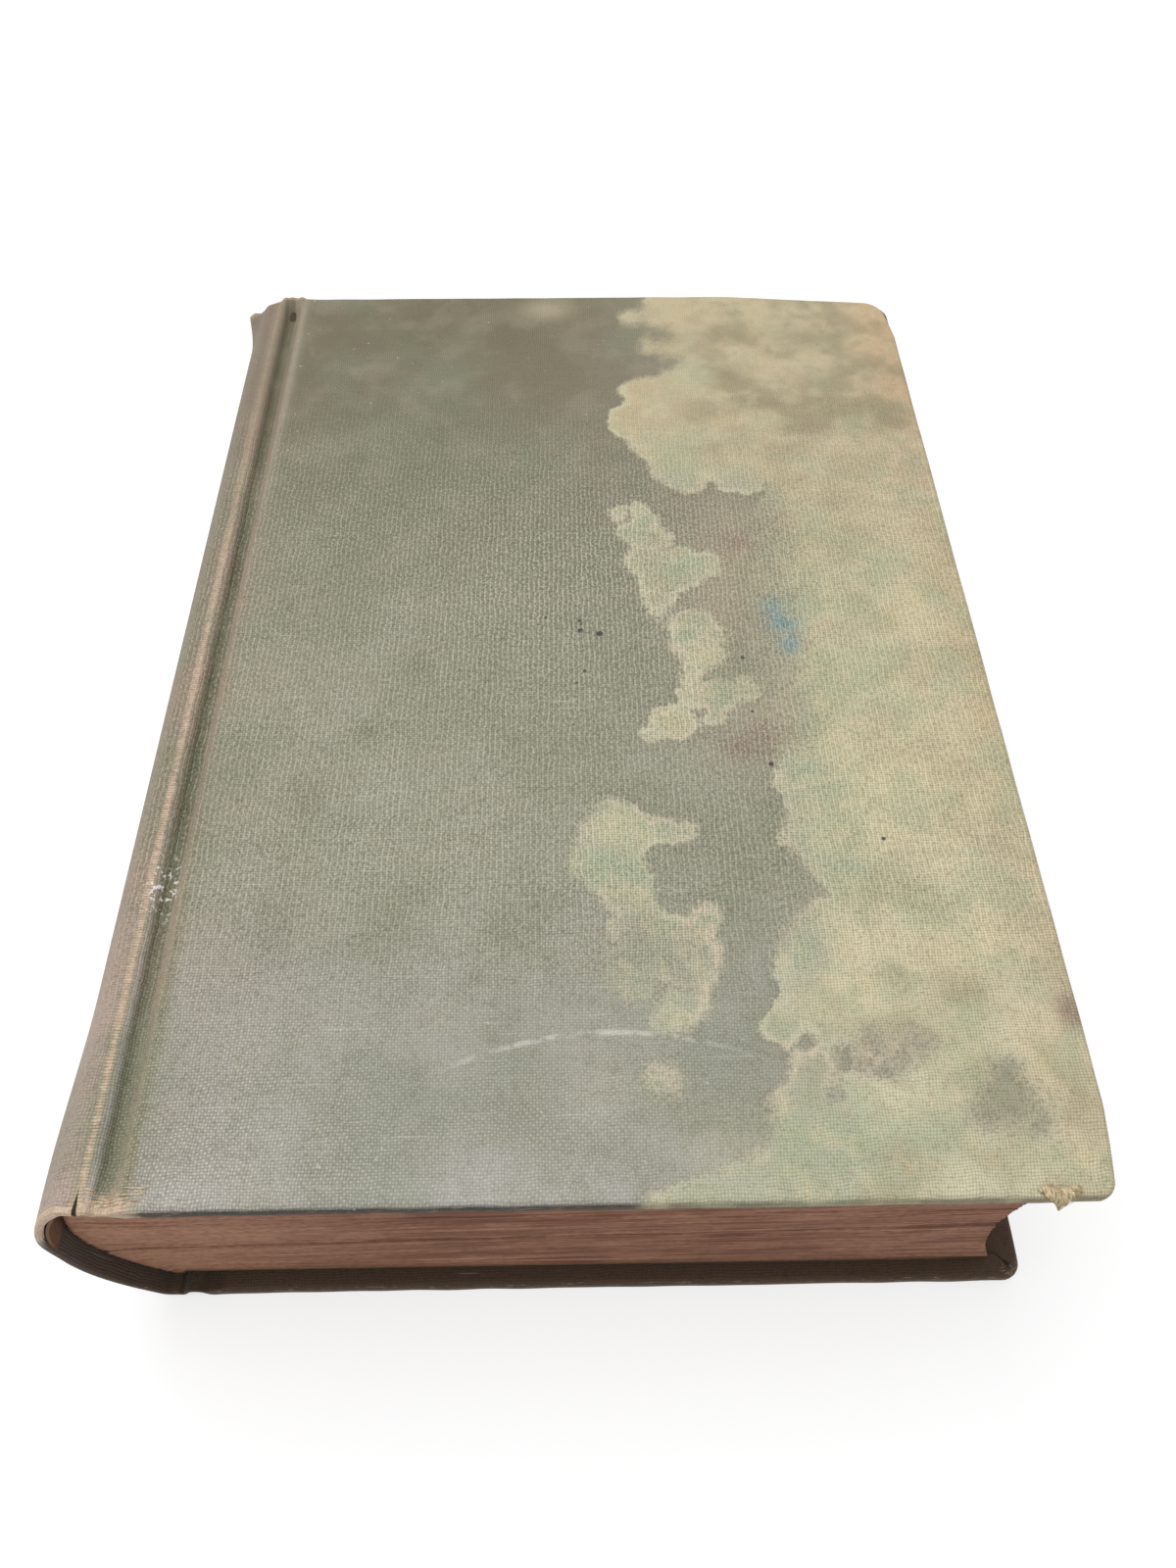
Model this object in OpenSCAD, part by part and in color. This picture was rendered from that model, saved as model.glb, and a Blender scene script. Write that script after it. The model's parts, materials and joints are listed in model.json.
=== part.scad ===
// A cloth-bound hardback book, closed and lying on its back cover.
// X runs from the spine to the fore edge, Y from the tail to the head, and Z is up.
// Sections are drawn in X and Z about the middle of the thickness, with X = 0 at the
// ridge of the shoulder, and the back cover is the front cover mirrored.

/* [Covers] */
// Height of a cover from tail to head, cloth included
cover_h = 210; // [140:1:320]
// Width of a cover from the ridge at its spine edge to its fore edge, cloth included
cover_w = 138; // [90:1:240]
// Thickness of a board
board_t = 2.6; // [1.6:0.1:4]
// Radius of the front cover's corner at the tail of the fore edge
tail_corner_r = 2; // [1:0.25:6]
// Radius of the front cover's bumped corner at the head of the fore edge
head_corner_r = 7; // [1:0.25:9]
// Radius of the back cover's two blunted corners at the fore edge
back_corner_r = 4.5; // [1:0.25:9]
// Width of the front cover's head that is worn to a slope, measured from the fore edge
head_worn_w = 38; // [20:1:60]
// How far that slope comes down at the fore edge
head_worn_h = 3; // [0.5:0.25:4]
// Height of the front cover's fore edge that is worn in, measured from the tail
tail_worn_h = 13; // [8:1:30]
// How far it is worn in at the tail
tail_worn_w = 1.5; // [0.25:0.25:2.5]
// Radius of a cover's edges, cloth included
edge_r = 0.9; // [0.7:0.05:1.3]

/* [Cloth] */
// Thickness of the book cloth
cloth_t = 0.4; // [0.25:0.05:0.6]
// How far the cloth is turned in over the board and the spine inlay
turn_in = 15; // [8:1:22]
// Width of the slit where two turn-ins meet in a mitre
mitre_gap = 0.2; // [0.1:0.05:0.5]
// Width of the groove between the shoulder's ridge and the board's ridge
groove_w = 4.6; // [3.6:0.1:7]
// How far the shoulder's ridge lies under the plane of the cover
ridge_drop = 0.4; // [0.3:0.05:1]

/* [Text block] */
// Thickness of the text block
block_t = 44; // [20:1:70]
// Square: how far a cover stands out past the block at the head and the tail
end_square = 3; // [1.5:0.5:5]
// Square at the fore edge
fore_square = 5.3; // [2:0.1:8]
// How far the round of the back stands out behind the shoulders
back_round = 8.6; // [5:0.1:12]
// How deep the fore edge is hollowed
fore_hollow = 4.5; // [1:0.1:8]
// Width of the slope from a shoulder's tip down to the block's face
slope_w = 2; // [1.2:0.1:3]
// Number of sewn gatherings
gatherings = 20; // [8:1:36]
// Depth of the valley between the folds of two gatherings
fold_valley = 0.35; // [0.1:0.05:0.5]
// Width of the line between two gatherings on the trimmed edges
leaf_gap = 0.16; // [0.08:0.02:0.4]
// Depth of that line
leaf_gap_depth = 0.3; // [0.1:0.05:0.6]

/* [Papers and linings] */
// Thickness of a flyleaf and of a pastedown
leaf_t = 0.2; // [0.15:0.05:0.4]
// Margin of turned-in cloth left bare around a pastedown
paste_margin = 4; // [2:0.5:7]
// Thickness of the gauze over the back
mull_t = 0.25; // [0.15:0.05:0.4]
// How far the gauze stops short of the block's head and tail
mull_short = 12; // [5:1:25]
// Width of the gauze flange glued to a board
flange_w = 25; // [15:1:40]
// Thickness of the paper lining glued over the gauze
lining_t = 0.35; // [0.2:0.05:0.6]
// How far the paper lining stops short of the block's head and tail
lining_short = 1; // [0.5:0.5:5]
// Clear space of the hollow back, inside the turned-in cloth
hollow = 0.3; // [0.3:0.05:0.8]
// Thickness of the paper inlay that stiffens the cloth of the spine
inlay_t = 0.45; // [0.3:0.05:0.8]
// Space between pieces that move against each other
swing_gap = 0.3; // [0.3:0.05:0.6]

/* [Hidden] */

// Heights above the middle of the thickness, from the block's face out to the cover's.
z_block = block_t / 2;
z_leaf = z_block + leaf_t;
z_paste = z_leaf + swing_gap;
z_board = z_paste + leaf_t;
z_cover = z_board + board_t + cloth_t;
z_ridge = z_cover - ridge_drop;

// The shoulder's tip lies under the ridge, inside the cloth and the gauze.
tip_gap = 0.1;
z_tip = z_ridge - cloth_t - mull_t - tip_gap;
shoulder_set = 0.8;
tip_x = -shoulder_set;

// The round of the back is one arc from tip to tip.
back_r = (z_tip * z_tip + back_round * back_round) / (2 * back_round);
back_x = tip_x - back_round + back_r;
shoulder_a = asin(z_tip / back_r);
arc_steps = 15;
lining_steps = 14;
inlay_steps = 12;

// Layers over the back, as distances out from the arc.
off_lining = mull_t + lining_t;
off_turn = off_lining + hollow;
off_inlay = off_turn + cloth_t;
off_cloth = off_inlay + inlay_t;
off_out = off_cloth + cloth_t;

// Places along X. The hinge line runs down the middle of the groove.
hinge_x = groove_w / 2 + 0.3;
strip_x = hinge_x + swing_gap / 2;
board_x = groove_w + cloth_t;
fore_x = groove_w + cover_w;
block_x = fore_x - fore_square;
spine_x = back_x - back_r - off_out;
centre_x = (spine_x + fore_x) / 2;
block_h = cover_h - 2 * end_square;
fillet_r = 0.8;
worn_bend_r = 60;
curve_steps = 8;
notch_u = leaf_gap / block_t;

function last(list) = list[len(list) - 1];
function reversed(list) = [for (i = [len(list) - 1:-1:0]) list[i]];
function flipped(list) = [for (p = reversed(list)) [p[0], -p[1]]];
function unit(v) = v / norm(v);

// Each point of a path moved by d to the left of the way the path runs.
function shifted(path, d) = [
    for (i = [0:len(path) - 1])
        let (from = path[max(i - 1, 0)], to = path[min(i + 1, len(path) - 1)], t = unit(to - from))
            path[i] + d * [-t[1], t[0]]
];
function band(path, near, far) = concat(shifted(path, near), reversed(shifted(path, far)));

// Cubic curve between two points, each with its handle.
function curve(a, ah, bh, b) = [
    for (i = [0:curve_steps])
        let (t = i / curve_steps, s = 1 - t)
            s * s * s * a + 3 * s * s * t * ah + 3 * s * t * t * bh + t * t * t * b
];

// Point at an angle up from the middle of the back, off the arc by a distance.
function back_point(a, off) = [back_x - (back_r + off) * cos(a), (back_r + off) * sin(a)];
function back_arc(off, steps) = [
    for (i = [-steps:steps]) back_point(shoulder_a * i / arc_steps, off)
];

// Where the leaf at u starts at the back and ends at the fore edge, with u from -1 at
// the back cover's side to 1 at the front cover's.
function leaf_angle(u) = asin(u * z_tip / back_r);
function leaf_end(u) = [block_x - fore_hollow * (1 - u * u), u * z_block];
function slope(s) = (1 + cos(180 * s)) / 2;

// A leaf bends from the fold out to its place in the flat stack, the outer ones tightly.
function leaf(u) =
    let (start = back_point(leaf_angle(u), 0), w = slope_w + (1 - abs(u)) * back_round)
        concat(
            [for (i = [0:curve_steps])
                let (s = i / curve_steps)
                    [start[0] + w * s, u * (z_block + (z_tip - z_block) * slope(s))]],
            [leaf_end(u)]
        );

// Rounded folds along the back, with a valley between each gathering and the next.
function folds() = [
    for (k = [0:gatherings - 1], s = [0, 0.15, 0.5, 0.85])
        if (k > 0 || s > 0)
            let (u = -1 + 2 * (k + s) / gatherings)
                back_point(leaf_angle(u), -fold_valley * pow(abs(2 * s - 1), 4) - tip_gap / 5)
];

// The hollow fore edge, with a notch between each gathering and the next.
function fore_edge() = [
    for (k = [gatherings - 1:-1:1], side = [1, 0, -1])
        let (u = -1 + 2 * k / gatherings)
            leaf_end(u + side * notch_u) - [side == 0 ? leaf_gap_depth : 0, 0]
];

function block_outline() = concat(folds(), leaf(1), fore_edge(), flipped(leaf(1)));

// The cloth's outer face from the groove over the shoulder to where the round begins.
function shoulder_cloth() =
    let (a = shoulder_a * inlay_steps / arc_steps, end = back_point(a, off_out), reach = -end[0])
        concat(
            curve(
                [hinge_x - swing_gap / 2, z_board + cloth_t],
                [hinge_x / 2, z_board + cloth_t],
                [hinge_x / 2, z_ridge],
                [0, z_ridge]
            ),
            [for (i = [1:curve_steps - 1])
                let (c = curve(
                    [0, z_ridge],
                    [-0.4 * reach, z_ridge],
                    end + 0.45 * reach * [sin(a), cos(a)],
                    end
                )) c[i]]
        );

function spine_path() = concat(
    shoulder_cloth(), reversed(back_arc(off_out, inlay_steps)), flipped(shoulder_cloth())
);

// Arc of radius r that rounds the corner p between its neighbours a and b, on a path
// that turns left.
function corner_arc(a, p, b, r) =
    let (
        u = unit(a - p),
        v = unit(b - p),
        half = acos(u * v) / 2,
        centre = p + r / sin(half) * unit(u + v),
        from = p + r / tan(half) * u - centre,
        start = atan2(from[1], from[0])
    )
        [for (i = [0:curve_steps])
            let (a = start + (180 - 2 * half) * i / curve_steps)
                centre + r * [cos(a), sin(a)]];

// A path with its ends as they are and each corner between them rounded by its radius.
function filleted(path, r) = concat(
    [path[0]],
    [for (i = [1:len(path) - 2], p = corner_arc(path[i - 1], path[i], path[i + 1], r[i - 1])) p],
    [last(path)]
);

// A cover's outline from above, drawn in by an inset. The front one is worn: its head
// slopes down to the fore edge, and its fore edge draws in to the tail.
function cover_plan(front, inset) =
    let (
        x0 = groove_w + inset,
        x1 = fore_x - inset,
        y1 = cover_h / 2 - inset,
        tail = front ? [[x1 - tail_worn_w, -y1], [x1, tail_worn_h - y1]] : [[x1, -y1]],
        head = front ? [[x1, y1 - head_worn_h], [x1 - head_worn_w, y1]] : [[x1, y1]],
        tail_r = front ? [tail_corner_r, worn_bend_r] : [back_corner_r],
        head_r = front ? [head_corner_r, worn_bend_r] : [back_corner_r]
    )
        filleted(
            concat([[x0, -y1]], tail, head, [[x0, y1]]),
            [for (r = concat(tail_r, head_r)) r - inset]
        );

module along_y(h) rotate([90, 0, 0]) linear_extrude(h, center = true) children();
module along_x(w) rotate([90, 0, 90]) linear_extrude(w) children();
module placed() translate([-centre_x, 0, z_cover]) children();
module at_back() mirror([0, 0, 1]) children();
module at_both_ends() for (end = [-1, 1]) scale([1, end, 1]) children();

// Rectangle with its own radius at each corner, in the order of its corners from the
// least x and y on round.
module rounded(low, high, r) {
    corners = [low, [high[0], low[1]], high, [low[0], high[1]]];
    inward = [[1, 1], [-1, 1], [-1, -1], [1, -1]];
    difference() {
        translate(low) square(high - low);
        for (i = [0:3])
            if (r[i] > 0)
                translate(corners[i])
                    difference() {
                        scale(inward[i]) translate([-1, -1]) square(r[i] + 1);
                        translate(inward[i] * r[i]) circle(r[i], $fn = 48);
                    }
    }
}

// A cover without its groove strip, drawn in by an inset on every side but its inner face.
module cover_form(front, inset) {
    x0 = groove_w + inset;
    x1 = fore_x - inset;
    y1 = cover_h / 2 - inset;
    z1 = z_cover - inset;
    r = edge_r - inset;
    intersection() {
        translate([0, 0, z_board]) linear_extrude(z1 - z_board) polygon(cover_plan(front, inset));
        along_y(cover_h) rounded([x0, z_board], [x1, z1], [0, r, r, r]);
        along_x(fore_x) rounded([-y1, z_board], [y1, z1], [r, r, r, r]);
    }
}

// The border of the inner face that the turned-in cloth covers.
module turn_in_zone() {
    window_x = fore_x - turn_in;
    window_y = cover_h / 2 - turn_in;
    translate([0, 0, z_board])
        linear_extrude(cloth_t)
            difference() {
                translate([groove_w, -cover_h / 2]) square([cover_w, cover_h]);
                translate([0, -window_y]) square([window_x, 2 * window_y]);
            }
}

module flange_form() {
    half = block_h / 2 - mull_short - end_square;
    translate([board_x, -half, z_board]) cube([flange_w, 2 * half, mull_t]);
}

module mitre_slit() {
    translate([fore_x - turn_in, cover_h / 2 - turn_in, z_board])
        rotate([0, 0, 45])
            translate([-mitre_gap, -mitre_gap / 2, 0])
                cube([2 * turn_in, mitre_gap, cloth_t]);
}

// Half of the groove: it runs from the hinge line to the foot of the board's wall.
module groove_strip() {
    top = z_board + cloth_t;
    along_y(cover_h) {
        translate([strip_x, z_board]) square([board_x - strip_x, cloth_t]);
        difference() {
            translate([groove_w - fillet_r, top]) square(fillet_r);
            translate([groove_w - fillet_r, top + fillet_r]) circle(fillet_r, $fn = 48);
        }
    }
}

module board(front) {
    difference() {
        cover_form(front, cloth_t);
        turn_in_zone();
        flange_form();
    }
}

module cover_cloth(front) {
    difference() {
        union() {
            difference() {
                cover_form(front, 0);
                cover_form(front, cloth_t);
            }
            intersection() {
                cover_form(front, 0);
                turn_in_zone();
            }
            groove_strip();
        }
        at_both_ends() mitre_slit();
    }
}

module pastedown() {
    translate([strip_x, paste_margin - cover_h / 2, z_paste])
        cube([fore_x - paste_margin - strip_x, cover_h - 2 * paste_margin, leaf_t]);
}

module flyleaf() along_y(block_h) polygon(band(leaf(1), 0, leaf_t));

module text_block() {
    color("#a9816b")
        placed() {
            along_y(block_h - 2 * leaf_gap_depth) polygon(block_outline());
            at_both_ends()
                translate([0, (block_h - leaf_gap_depth) / 2, 0])
                    along_y(leaf_gap_depth)
                        difference() {
                            polygon(block_outline());
                            for (k = [1:gatherings - 1])
                                polygon(band(leaf(-1 + 2 * k / gatherings), -leaf_gap / 2, leaf_gap / 2));
                        }
        }
}

module front_flyleaf() color("#d8c6a4") placed() flyleaf();
module back_flyleaf() color("#d8c6a4") placed() at_back() flyleaf();

module mull() {
    color("#cfc4a8")
        placed()
            along_y(block_h - 2 * mull_short)
                polygon(band(back_arc(0, arc_steps), 0, mull_t));
}

module spine_lining() {
    color("#b09a78")
        placed()
            along_y(block_h - 2 * lining_short)
                polygon(band(back_arc(mull_t, lining_steps), 0, lining_t));
}

module spine_inlay() {
    color("#a08a68")
        placed()
            along_y(cover_h - 2 * cloth_t)
                polygon(band(back_arc(off_inlay, inlay_steps), 0, inlay_t));
}

module spine_cloth() {
    color("#96897a")
        placed() {
            along_y(cover_h) polygon(band(spine_path(), 0, cloth_t));
            at_both_ends() {
                translate([0, (cover_h - cloth_t) / 2, 0])
                    along_y(cloth_t)
                        polygon(band(back_arc(off_turn, inlay_steps), 0, off_cloth + cloth_t / 2 - off_turn));
                translate([0, (cover_h - turn_in) / 2, 0])
                    along_y(turn_in)
                        polygon(band(back_arc(off_turn, inlay_steps), 0, cloth_t));
            }
        }
}

module front_board() color("#8a7355") placed() board(true);
module back_board() color("#8a7355") placed() at_back() board(false);
module front_cloth() color("#8f9279") placed() cover_cloth(true);
module back_cloth() color("#8f9279") placed() at_back() cover_cloth(false);
module front_mull_flange() color("#cfc4a8") placed() flange_form();
module back_mull_flange() color("#cfc4a8") placed() at_back() flange_form();
module front_pastedown() color("#d8c6a4") placed() pastedown();
module back_pastedown() color("#d8c6a4") placed() at_back() pastedown();

text_block();
front_flyleaf();
back_flyleaf();
mull();
spine_lining();
spine_inlay();
spine_cloth();
front_board();
front_cloth();
front_mull_flange();
front_pastedown();
back_board();
back_cloth();
back_mull_flange();
back_pastedown();
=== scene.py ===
import json
import math

import bpy
import numpy as np
from mathutils import Matrix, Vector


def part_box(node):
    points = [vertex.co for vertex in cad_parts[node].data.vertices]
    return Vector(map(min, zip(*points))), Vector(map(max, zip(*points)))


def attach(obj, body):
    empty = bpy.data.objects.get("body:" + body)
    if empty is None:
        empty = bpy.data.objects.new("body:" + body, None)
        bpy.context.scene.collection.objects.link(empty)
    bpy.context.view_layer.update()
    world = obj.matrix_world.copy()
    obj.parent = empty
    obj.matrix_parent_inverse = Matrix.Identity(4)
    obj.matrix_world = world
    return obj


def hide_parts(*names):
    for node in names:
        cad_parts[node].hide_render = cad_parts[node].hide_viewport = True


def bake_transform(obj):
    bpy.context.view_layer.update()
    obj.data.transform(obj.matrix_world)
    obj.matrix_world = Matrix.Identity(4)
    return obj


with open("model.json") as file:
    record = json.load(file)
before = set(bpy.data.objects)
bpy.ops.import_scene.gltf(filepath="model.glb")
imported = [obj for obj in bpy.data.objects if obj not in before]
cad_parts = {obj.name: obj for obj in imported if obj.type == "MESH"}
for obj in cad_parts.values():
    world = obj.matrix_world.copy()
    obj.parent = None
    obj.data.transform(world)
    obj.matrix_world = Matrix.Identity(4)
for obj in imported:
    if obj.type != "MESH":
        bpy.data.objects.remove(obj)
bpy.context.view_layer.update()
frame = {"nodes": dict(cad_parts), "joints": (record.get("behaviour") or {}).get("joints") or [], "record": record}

# Everything is in metres, in the frame's own place: X from the spine to the fore edge,
# Y from the tail to the head, Z up, with the back cover's outer face at zero.
MM = 0.001

# Places read from the solids.
_, cloth_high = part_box("front_cloth")
board_low, board_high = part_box("front_board")
block_low, block_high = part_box("text_block")
_, gauze_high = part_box("mull")
paste_low, paste_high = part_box("front_pastedown")
spine_low, spine_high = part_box("spine_cloth")

TOP = cloth_high.z
MIDDLE = TOP / 2
HALF_H = cloth_high.y
FORE_X = cloth_high.x
CLOTH = cloth_high.z - board_high.z
BOARD_RIDGE_X = board_low.x - CLOTH
HINGE_X = frame["joints"][0]["pos_m"][0]
SHOULDER_X = HINGE_X - 2.6 * MM
SHOULDER_TOP = spine_high.z
GROOVE_FLOOR = board_low.z + CLOTH
TIP_UP = block_high.z - MIDDLE
BULGE = gauze_high.x - block_low.x
BACK_R = (TIP_UP ** 2 + BULGE ** 2) / (2 * BULGE)
BACK_X = block_low.x + BACK_R
SPINE_R = BACK_X - spine_low.x
ROUND_ANGLE = math.radians(36)

# The flyleaf lies on the pile of leaves, a swing's gap under the pastedown.
LEAF = paste_high.z - paste_low.z
FLYLEAF_TOP = paste_low.z - 0.3 * MM
BLOCK_TOP = FLYLEAF_TOP - LEAF
BLOCK_END_Y = block_high.y - 0.15 * MM
SLOPE_W = 2 * MM
FORE_HOLLOW = 4.5 * MM
GATHERINGS = 20

# The cloth's own measures, and the stretch over which it bends at a hinge.
EDGE_R = 0.9 * MM
TURN_IN = 15 * MM
THREAD = 0.46 * MM
GAUZE_THREAD = 0.9 * MM

# Marks on the cover are placed in millimetres from the middle of its height, and from a
# line this far from the shoulder's ridge.
MARKS_X = SHOULDER_X + 64.7 * MM


def dye(red, green, blue):
    """A colour written as it looks on a screen, turned to linear light."""
    share = np.array([red, green, blue]) / 255
    return np.where(share < 0.04045, share / 12.92, ((share + 0.055) / 1.055) ** 2.4)


def ease(value, low, high):
    """Smooth step from 0 at low to 1 at high: 3t² - 2t³."""
    t = np.clip((value - low) / (high - low), 0, 1)
    return t * t * (3 - 2 * t)


def ripple(x, y, size, seed):
    """Gentle noise of about the given size: the mean of eight sine waves that run in
    chance directions."""
    draw = np.random.default_rng(seed)
    total = 0
    for _ in range(8):
        turn, phase = draw.uniform(0, 2 * math.pi, 2)
        pace = 2 * math.pi / size * draw.uniform(0.6, 1.5)
        total = total + np.sin(pace * (x * math.cos(turn) + y * math.sin(turn)) + phase)
    return total / 8


# Mesh building

def curve(a, ah, bh, b, steps):
    """Cubic curve from a to b with a handle for each: the four points weighted by the
    cubic Bernstein terms."""
    t = np.linspace(0, 1, steps + 1)[:, None]
    s = 1 - t
    a, ah, bh, b = (np.array(p, float) for p in (a, ah, bh, b))
    return s ** 3 * a + 3 * s * s * t * ah + 3 * s * t * t * bh + t ** 3 * b


def lengths(points):
    """Length along a line of points, from nothing at its first point."""
    steps = np.linalg.norm(np.diff(points, axis=0), axis=-1)
    return np.concatenate([np.zeros_like(steps[:1]), np.cumsum(steps, axis=0)])


def grid_quads(rows, columns, close=False):
    """Quads of a grid of points stored row after row; close joins its last column to
    its first."""
    i, j = np.meshgrid(np.arange(rows - 1), np.arange(columns - (not close)), indexing="ij")
    i, j, k = i.ravel(), j.ravel(), ((j + 1) % columns).ravel()
    return np.stack([i * columns + j, (i + 1) * columns + j, (i + 1) * columns + k, i * columns + k], 1)


def point_normals(points, quads):
    """Mean of the faces' normals round each point, weighted by their areas."""
    a, b, c, d = (points[quads[:, k]] for k in range(4))
    face = np.cross(c - a, d - b)
    total = np.zeros_like(points)
    for k in range(4):
        np.add.at(total, quads[:, k], face)
    return total / np.maximum(np.linalg.norm(total, axis=1), 1e-12)[:, None]


def shell(points, quads, depth):
    """A closed skin: the outer points, the same points sunk along their normals by
    depth, and a wall along every open edge."""
    count = len(points)
    inner = points - point_normals(points, quads) * depth
    start = quads.ravel()
    end = np.roll(quads, -1, axis=1).ravel()
    there, back = start * count + end, end * count + start
    open_edge = ~np.isin(there, back)
    a, b = start[open_edge], end[open_edge]
    wall = np.stack([b, a, a + count, b + count], 1)
    return np.concatenate([points, inner]), np.concatenate([quads, quads[:, ::-1] + count, wall])


def mirrored(points, quads):
    """The same surface turned over about the middle of the book's thickness."""
    flipped = points.copy()
    flipped[:, 2] = 2 * MIDDLE - flipped[:, 2]
    return flipped, quads[:, ::-1]


def piece(name, points, faces, material, uv=None, fields=None):
    """A mesh object with its place in its mesh, its weave's coordinates and its fields
    of colour or wear at every point."""
    mesh = bpy.data.meshes.new(name)
    mesh.from_pydata(points.tolist(), [], faces if isinstance(faces, list) else faces.tolist())
    mesh.polygons.foreach_set("use_smooth", np.ones(len(mesh.polygons), bool))
    if uv is not None:
        corner = np.empty(len(mesh.loops), np.int32)
        mesh.loops.foreach_get("vertex_index", corner)
        mesh.uv_layers.new(name="weave").data.foreach_set("uv", uv[corner].ravel())
    for field, values in (fields or {}).items():
        if values.ndim == 2:
            made = mesh.attributes.new(field, "FLOAT_COLOR", "POINT")
            made.data.foreach_set("color", np.column_stack([values, np.ones(len(values))]).ravel())
        else:
            mesh.attributes.new(field, "FLOAT", "POINT").data.foreach_set("value", values)
    mesh.update()
    mesh.materials.append(material)
    made = bpy.data.objects.new(name, mesh)
    bpy.context.scene.collection.objects.link(made)
    return made


# Materials

def feed(tree, socket, value):
    """Gives a socket a colour, a number or another node's output."""
    if isinstance(value, Signal):
        value = value.socket
    if isinstance(value, bpy.types.NodeSocket):
        tree.links.new(value, socket)
    elif socket.type == "RGBA":
        socket.default_value = (*value, 1)
    else:
        socket.default_value = value


class Signal:
    """A number, vector or colour that varies over the surface, held as a node's output.
    Arithmetic on it adds the nodes that work it out."""

    def __init__(self, tree, socket):
        self.tree = tree
        self.socket = socket

    def math(self, kind, *given):
        """One kind of sum on the given values."""
        node = self.tree.nodes.new("ShaderNodeMath")
        node.operation = kind
        for socket, value in zip(node.inputs, given):
            feed(self.tree, socket, value)
        return Signal(self.tree, node.outputs[0])

    def __add__(self, other):
        return self.math("ADD", self, other)

    def __sub__(self, other):
        return self.math("SUBTRACT", self, other)

    def __rsub__(self, other):
        return self.math("SUBTRACT", other, self)

    def __mul__(self, other):
        return self.math("MULTIPLY", self, other)

    def __truediv__(self, other):
        return self.math("DIVIDE", self, other)

    def __pow__(self, power):
        return self.math("POWER", self, power)

    def __abs__(self):
        return self.math("ABSOLUTE", self)

    def sine(self):
        return self.math("SINE", self)

    def greatest(self, other):
        return self.math("MAXIMUM", self, other)

    def step(self, low, high, start=0.0, end=1.0):
        """Smooth step from start at low to end at high."""
        node = self.tree.nodes.new("ShaderNodeMapRange")
        node.interpolation_type = "SMOOTHSTEP"
        given = {"Value": self, "From Min": low, "From Max": high, "To Min": start, "To Max": end}
        for name, value in given.items():
            feed(self.tree, node.inputs[name], value)
        return Signal(self.tree, node.outputs[0])


class Finish:
    """A material whose nodes are made by short calls; each call gives a signal that the
    next one takes."""

    def __init__(self, name, roughness=0.8, specular=0.3, sheen=0.0):
        self.material = bpy.data.materials.new(name)
        self.material.use_nodes = True
        self.tree = self.material.node_tree
        self.shader = self.tree.nodes["Principled BSDF"]
        self.shader.inputs["Roughness"].default_value = roughness
        self.shader.inputs["Specular IOR Level"].default_value = specular
        self.shader.inputs["Sheen Weight"].default_value = sheen
        self.place = self.source("TexCoord", "Object")

    def source(self, kind, output, **settings):
        """An output of a new node of this kind, with the node's own settings."""
        node = self.tree.nodes.new("ShaderNode" + kind)
        for name, value in settings.items():
            setattr(node, name, value)
        return Signal(self.tree, node.outputs[output])

    def field(self, name, output="Fac"):
        """A field kept at the points of the piece."""
        return self.source("Attribute", output, attribute_name=name)

    def weave(self):
        """The piece's own coordinates, along its threads or its leaves."""
        return self.source("UVMap", 0, uv_map="weave")

    def parts(self, vector):
        """The three numbers of a vector."""
        node = self.tree.nodes.new("ShaderNodeSeparateXYZ")
        feed(self.tree, node.inputs[0], vector)
        return [Signal(self.tree, output) for output in node.outputs]

    def mix(self, share, a, b, kind="MIX"):
        """Colour a with b laid on it by a share: a (1 - share) + b share, or a times b in
        b's place where kind is MULTIPLY."""
        node = self.tree.nodes.new("ShaderNodeMix")
        node.data_type = "RGBA"
        node.blend_type = kind
        node.clamp_factor = True
        for socket, value in zip((node.inputs[0], node.inputs[6], node.inputs[7]), (share, a, b)):
            feed(self.tree, socket, value)
        return Signal(self.tree, node.outputs[2])

    def noise(self, size, stretch=(1, 1, 1), detail=3.0, where=None, seed=0.0):
        """Noise with blots of about the given size in metres, longer where stretch is
        more than 1."""
        node = self.tree.nodes.new("ShaderNodeMapping")
        feed(self.tree, node.inputs["Vector"], where or self.place)
        node.inputs["Location"].default_value = (seed, seed * 0.7, seed * 1.3)
        node.inputs["Scale"].default_value = [1 / (size * s) for s in stretch]
        made = self.tree.nodes.new("ShaderNodeTexNoise")
        feed(self.tree, made.inputs["Vector"], node.outputs[0])
        made.inputs["Scale"].default_value = 1
        made.inputs["Detail"].default_value = detail
        return Signal(self.tree, made.outputs[0])

    def bump(self, height, depth, under=None):
        """The normal, or the one under it, tilted by the slope of height times depth."""
        node = self.tree.nodes.new("ShaderNodeBump")
        node.inputs["Distance"].default_value = depth
        feed(self.tree, node.inputs["Height"], height)
        if under:
            feed(self.tree, node.inputs["Normal"], under)
        return Signal(self.tree, node.outputs[0])

    def done(self, colour, normal):
        """The material, with its colour and its normal."""
        feed(self.tree, self.shader.inputs["Base Color"], colour)
        feed(self.tree, self.shader.inputs["Normal"], normal)
        return self.material


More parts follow.
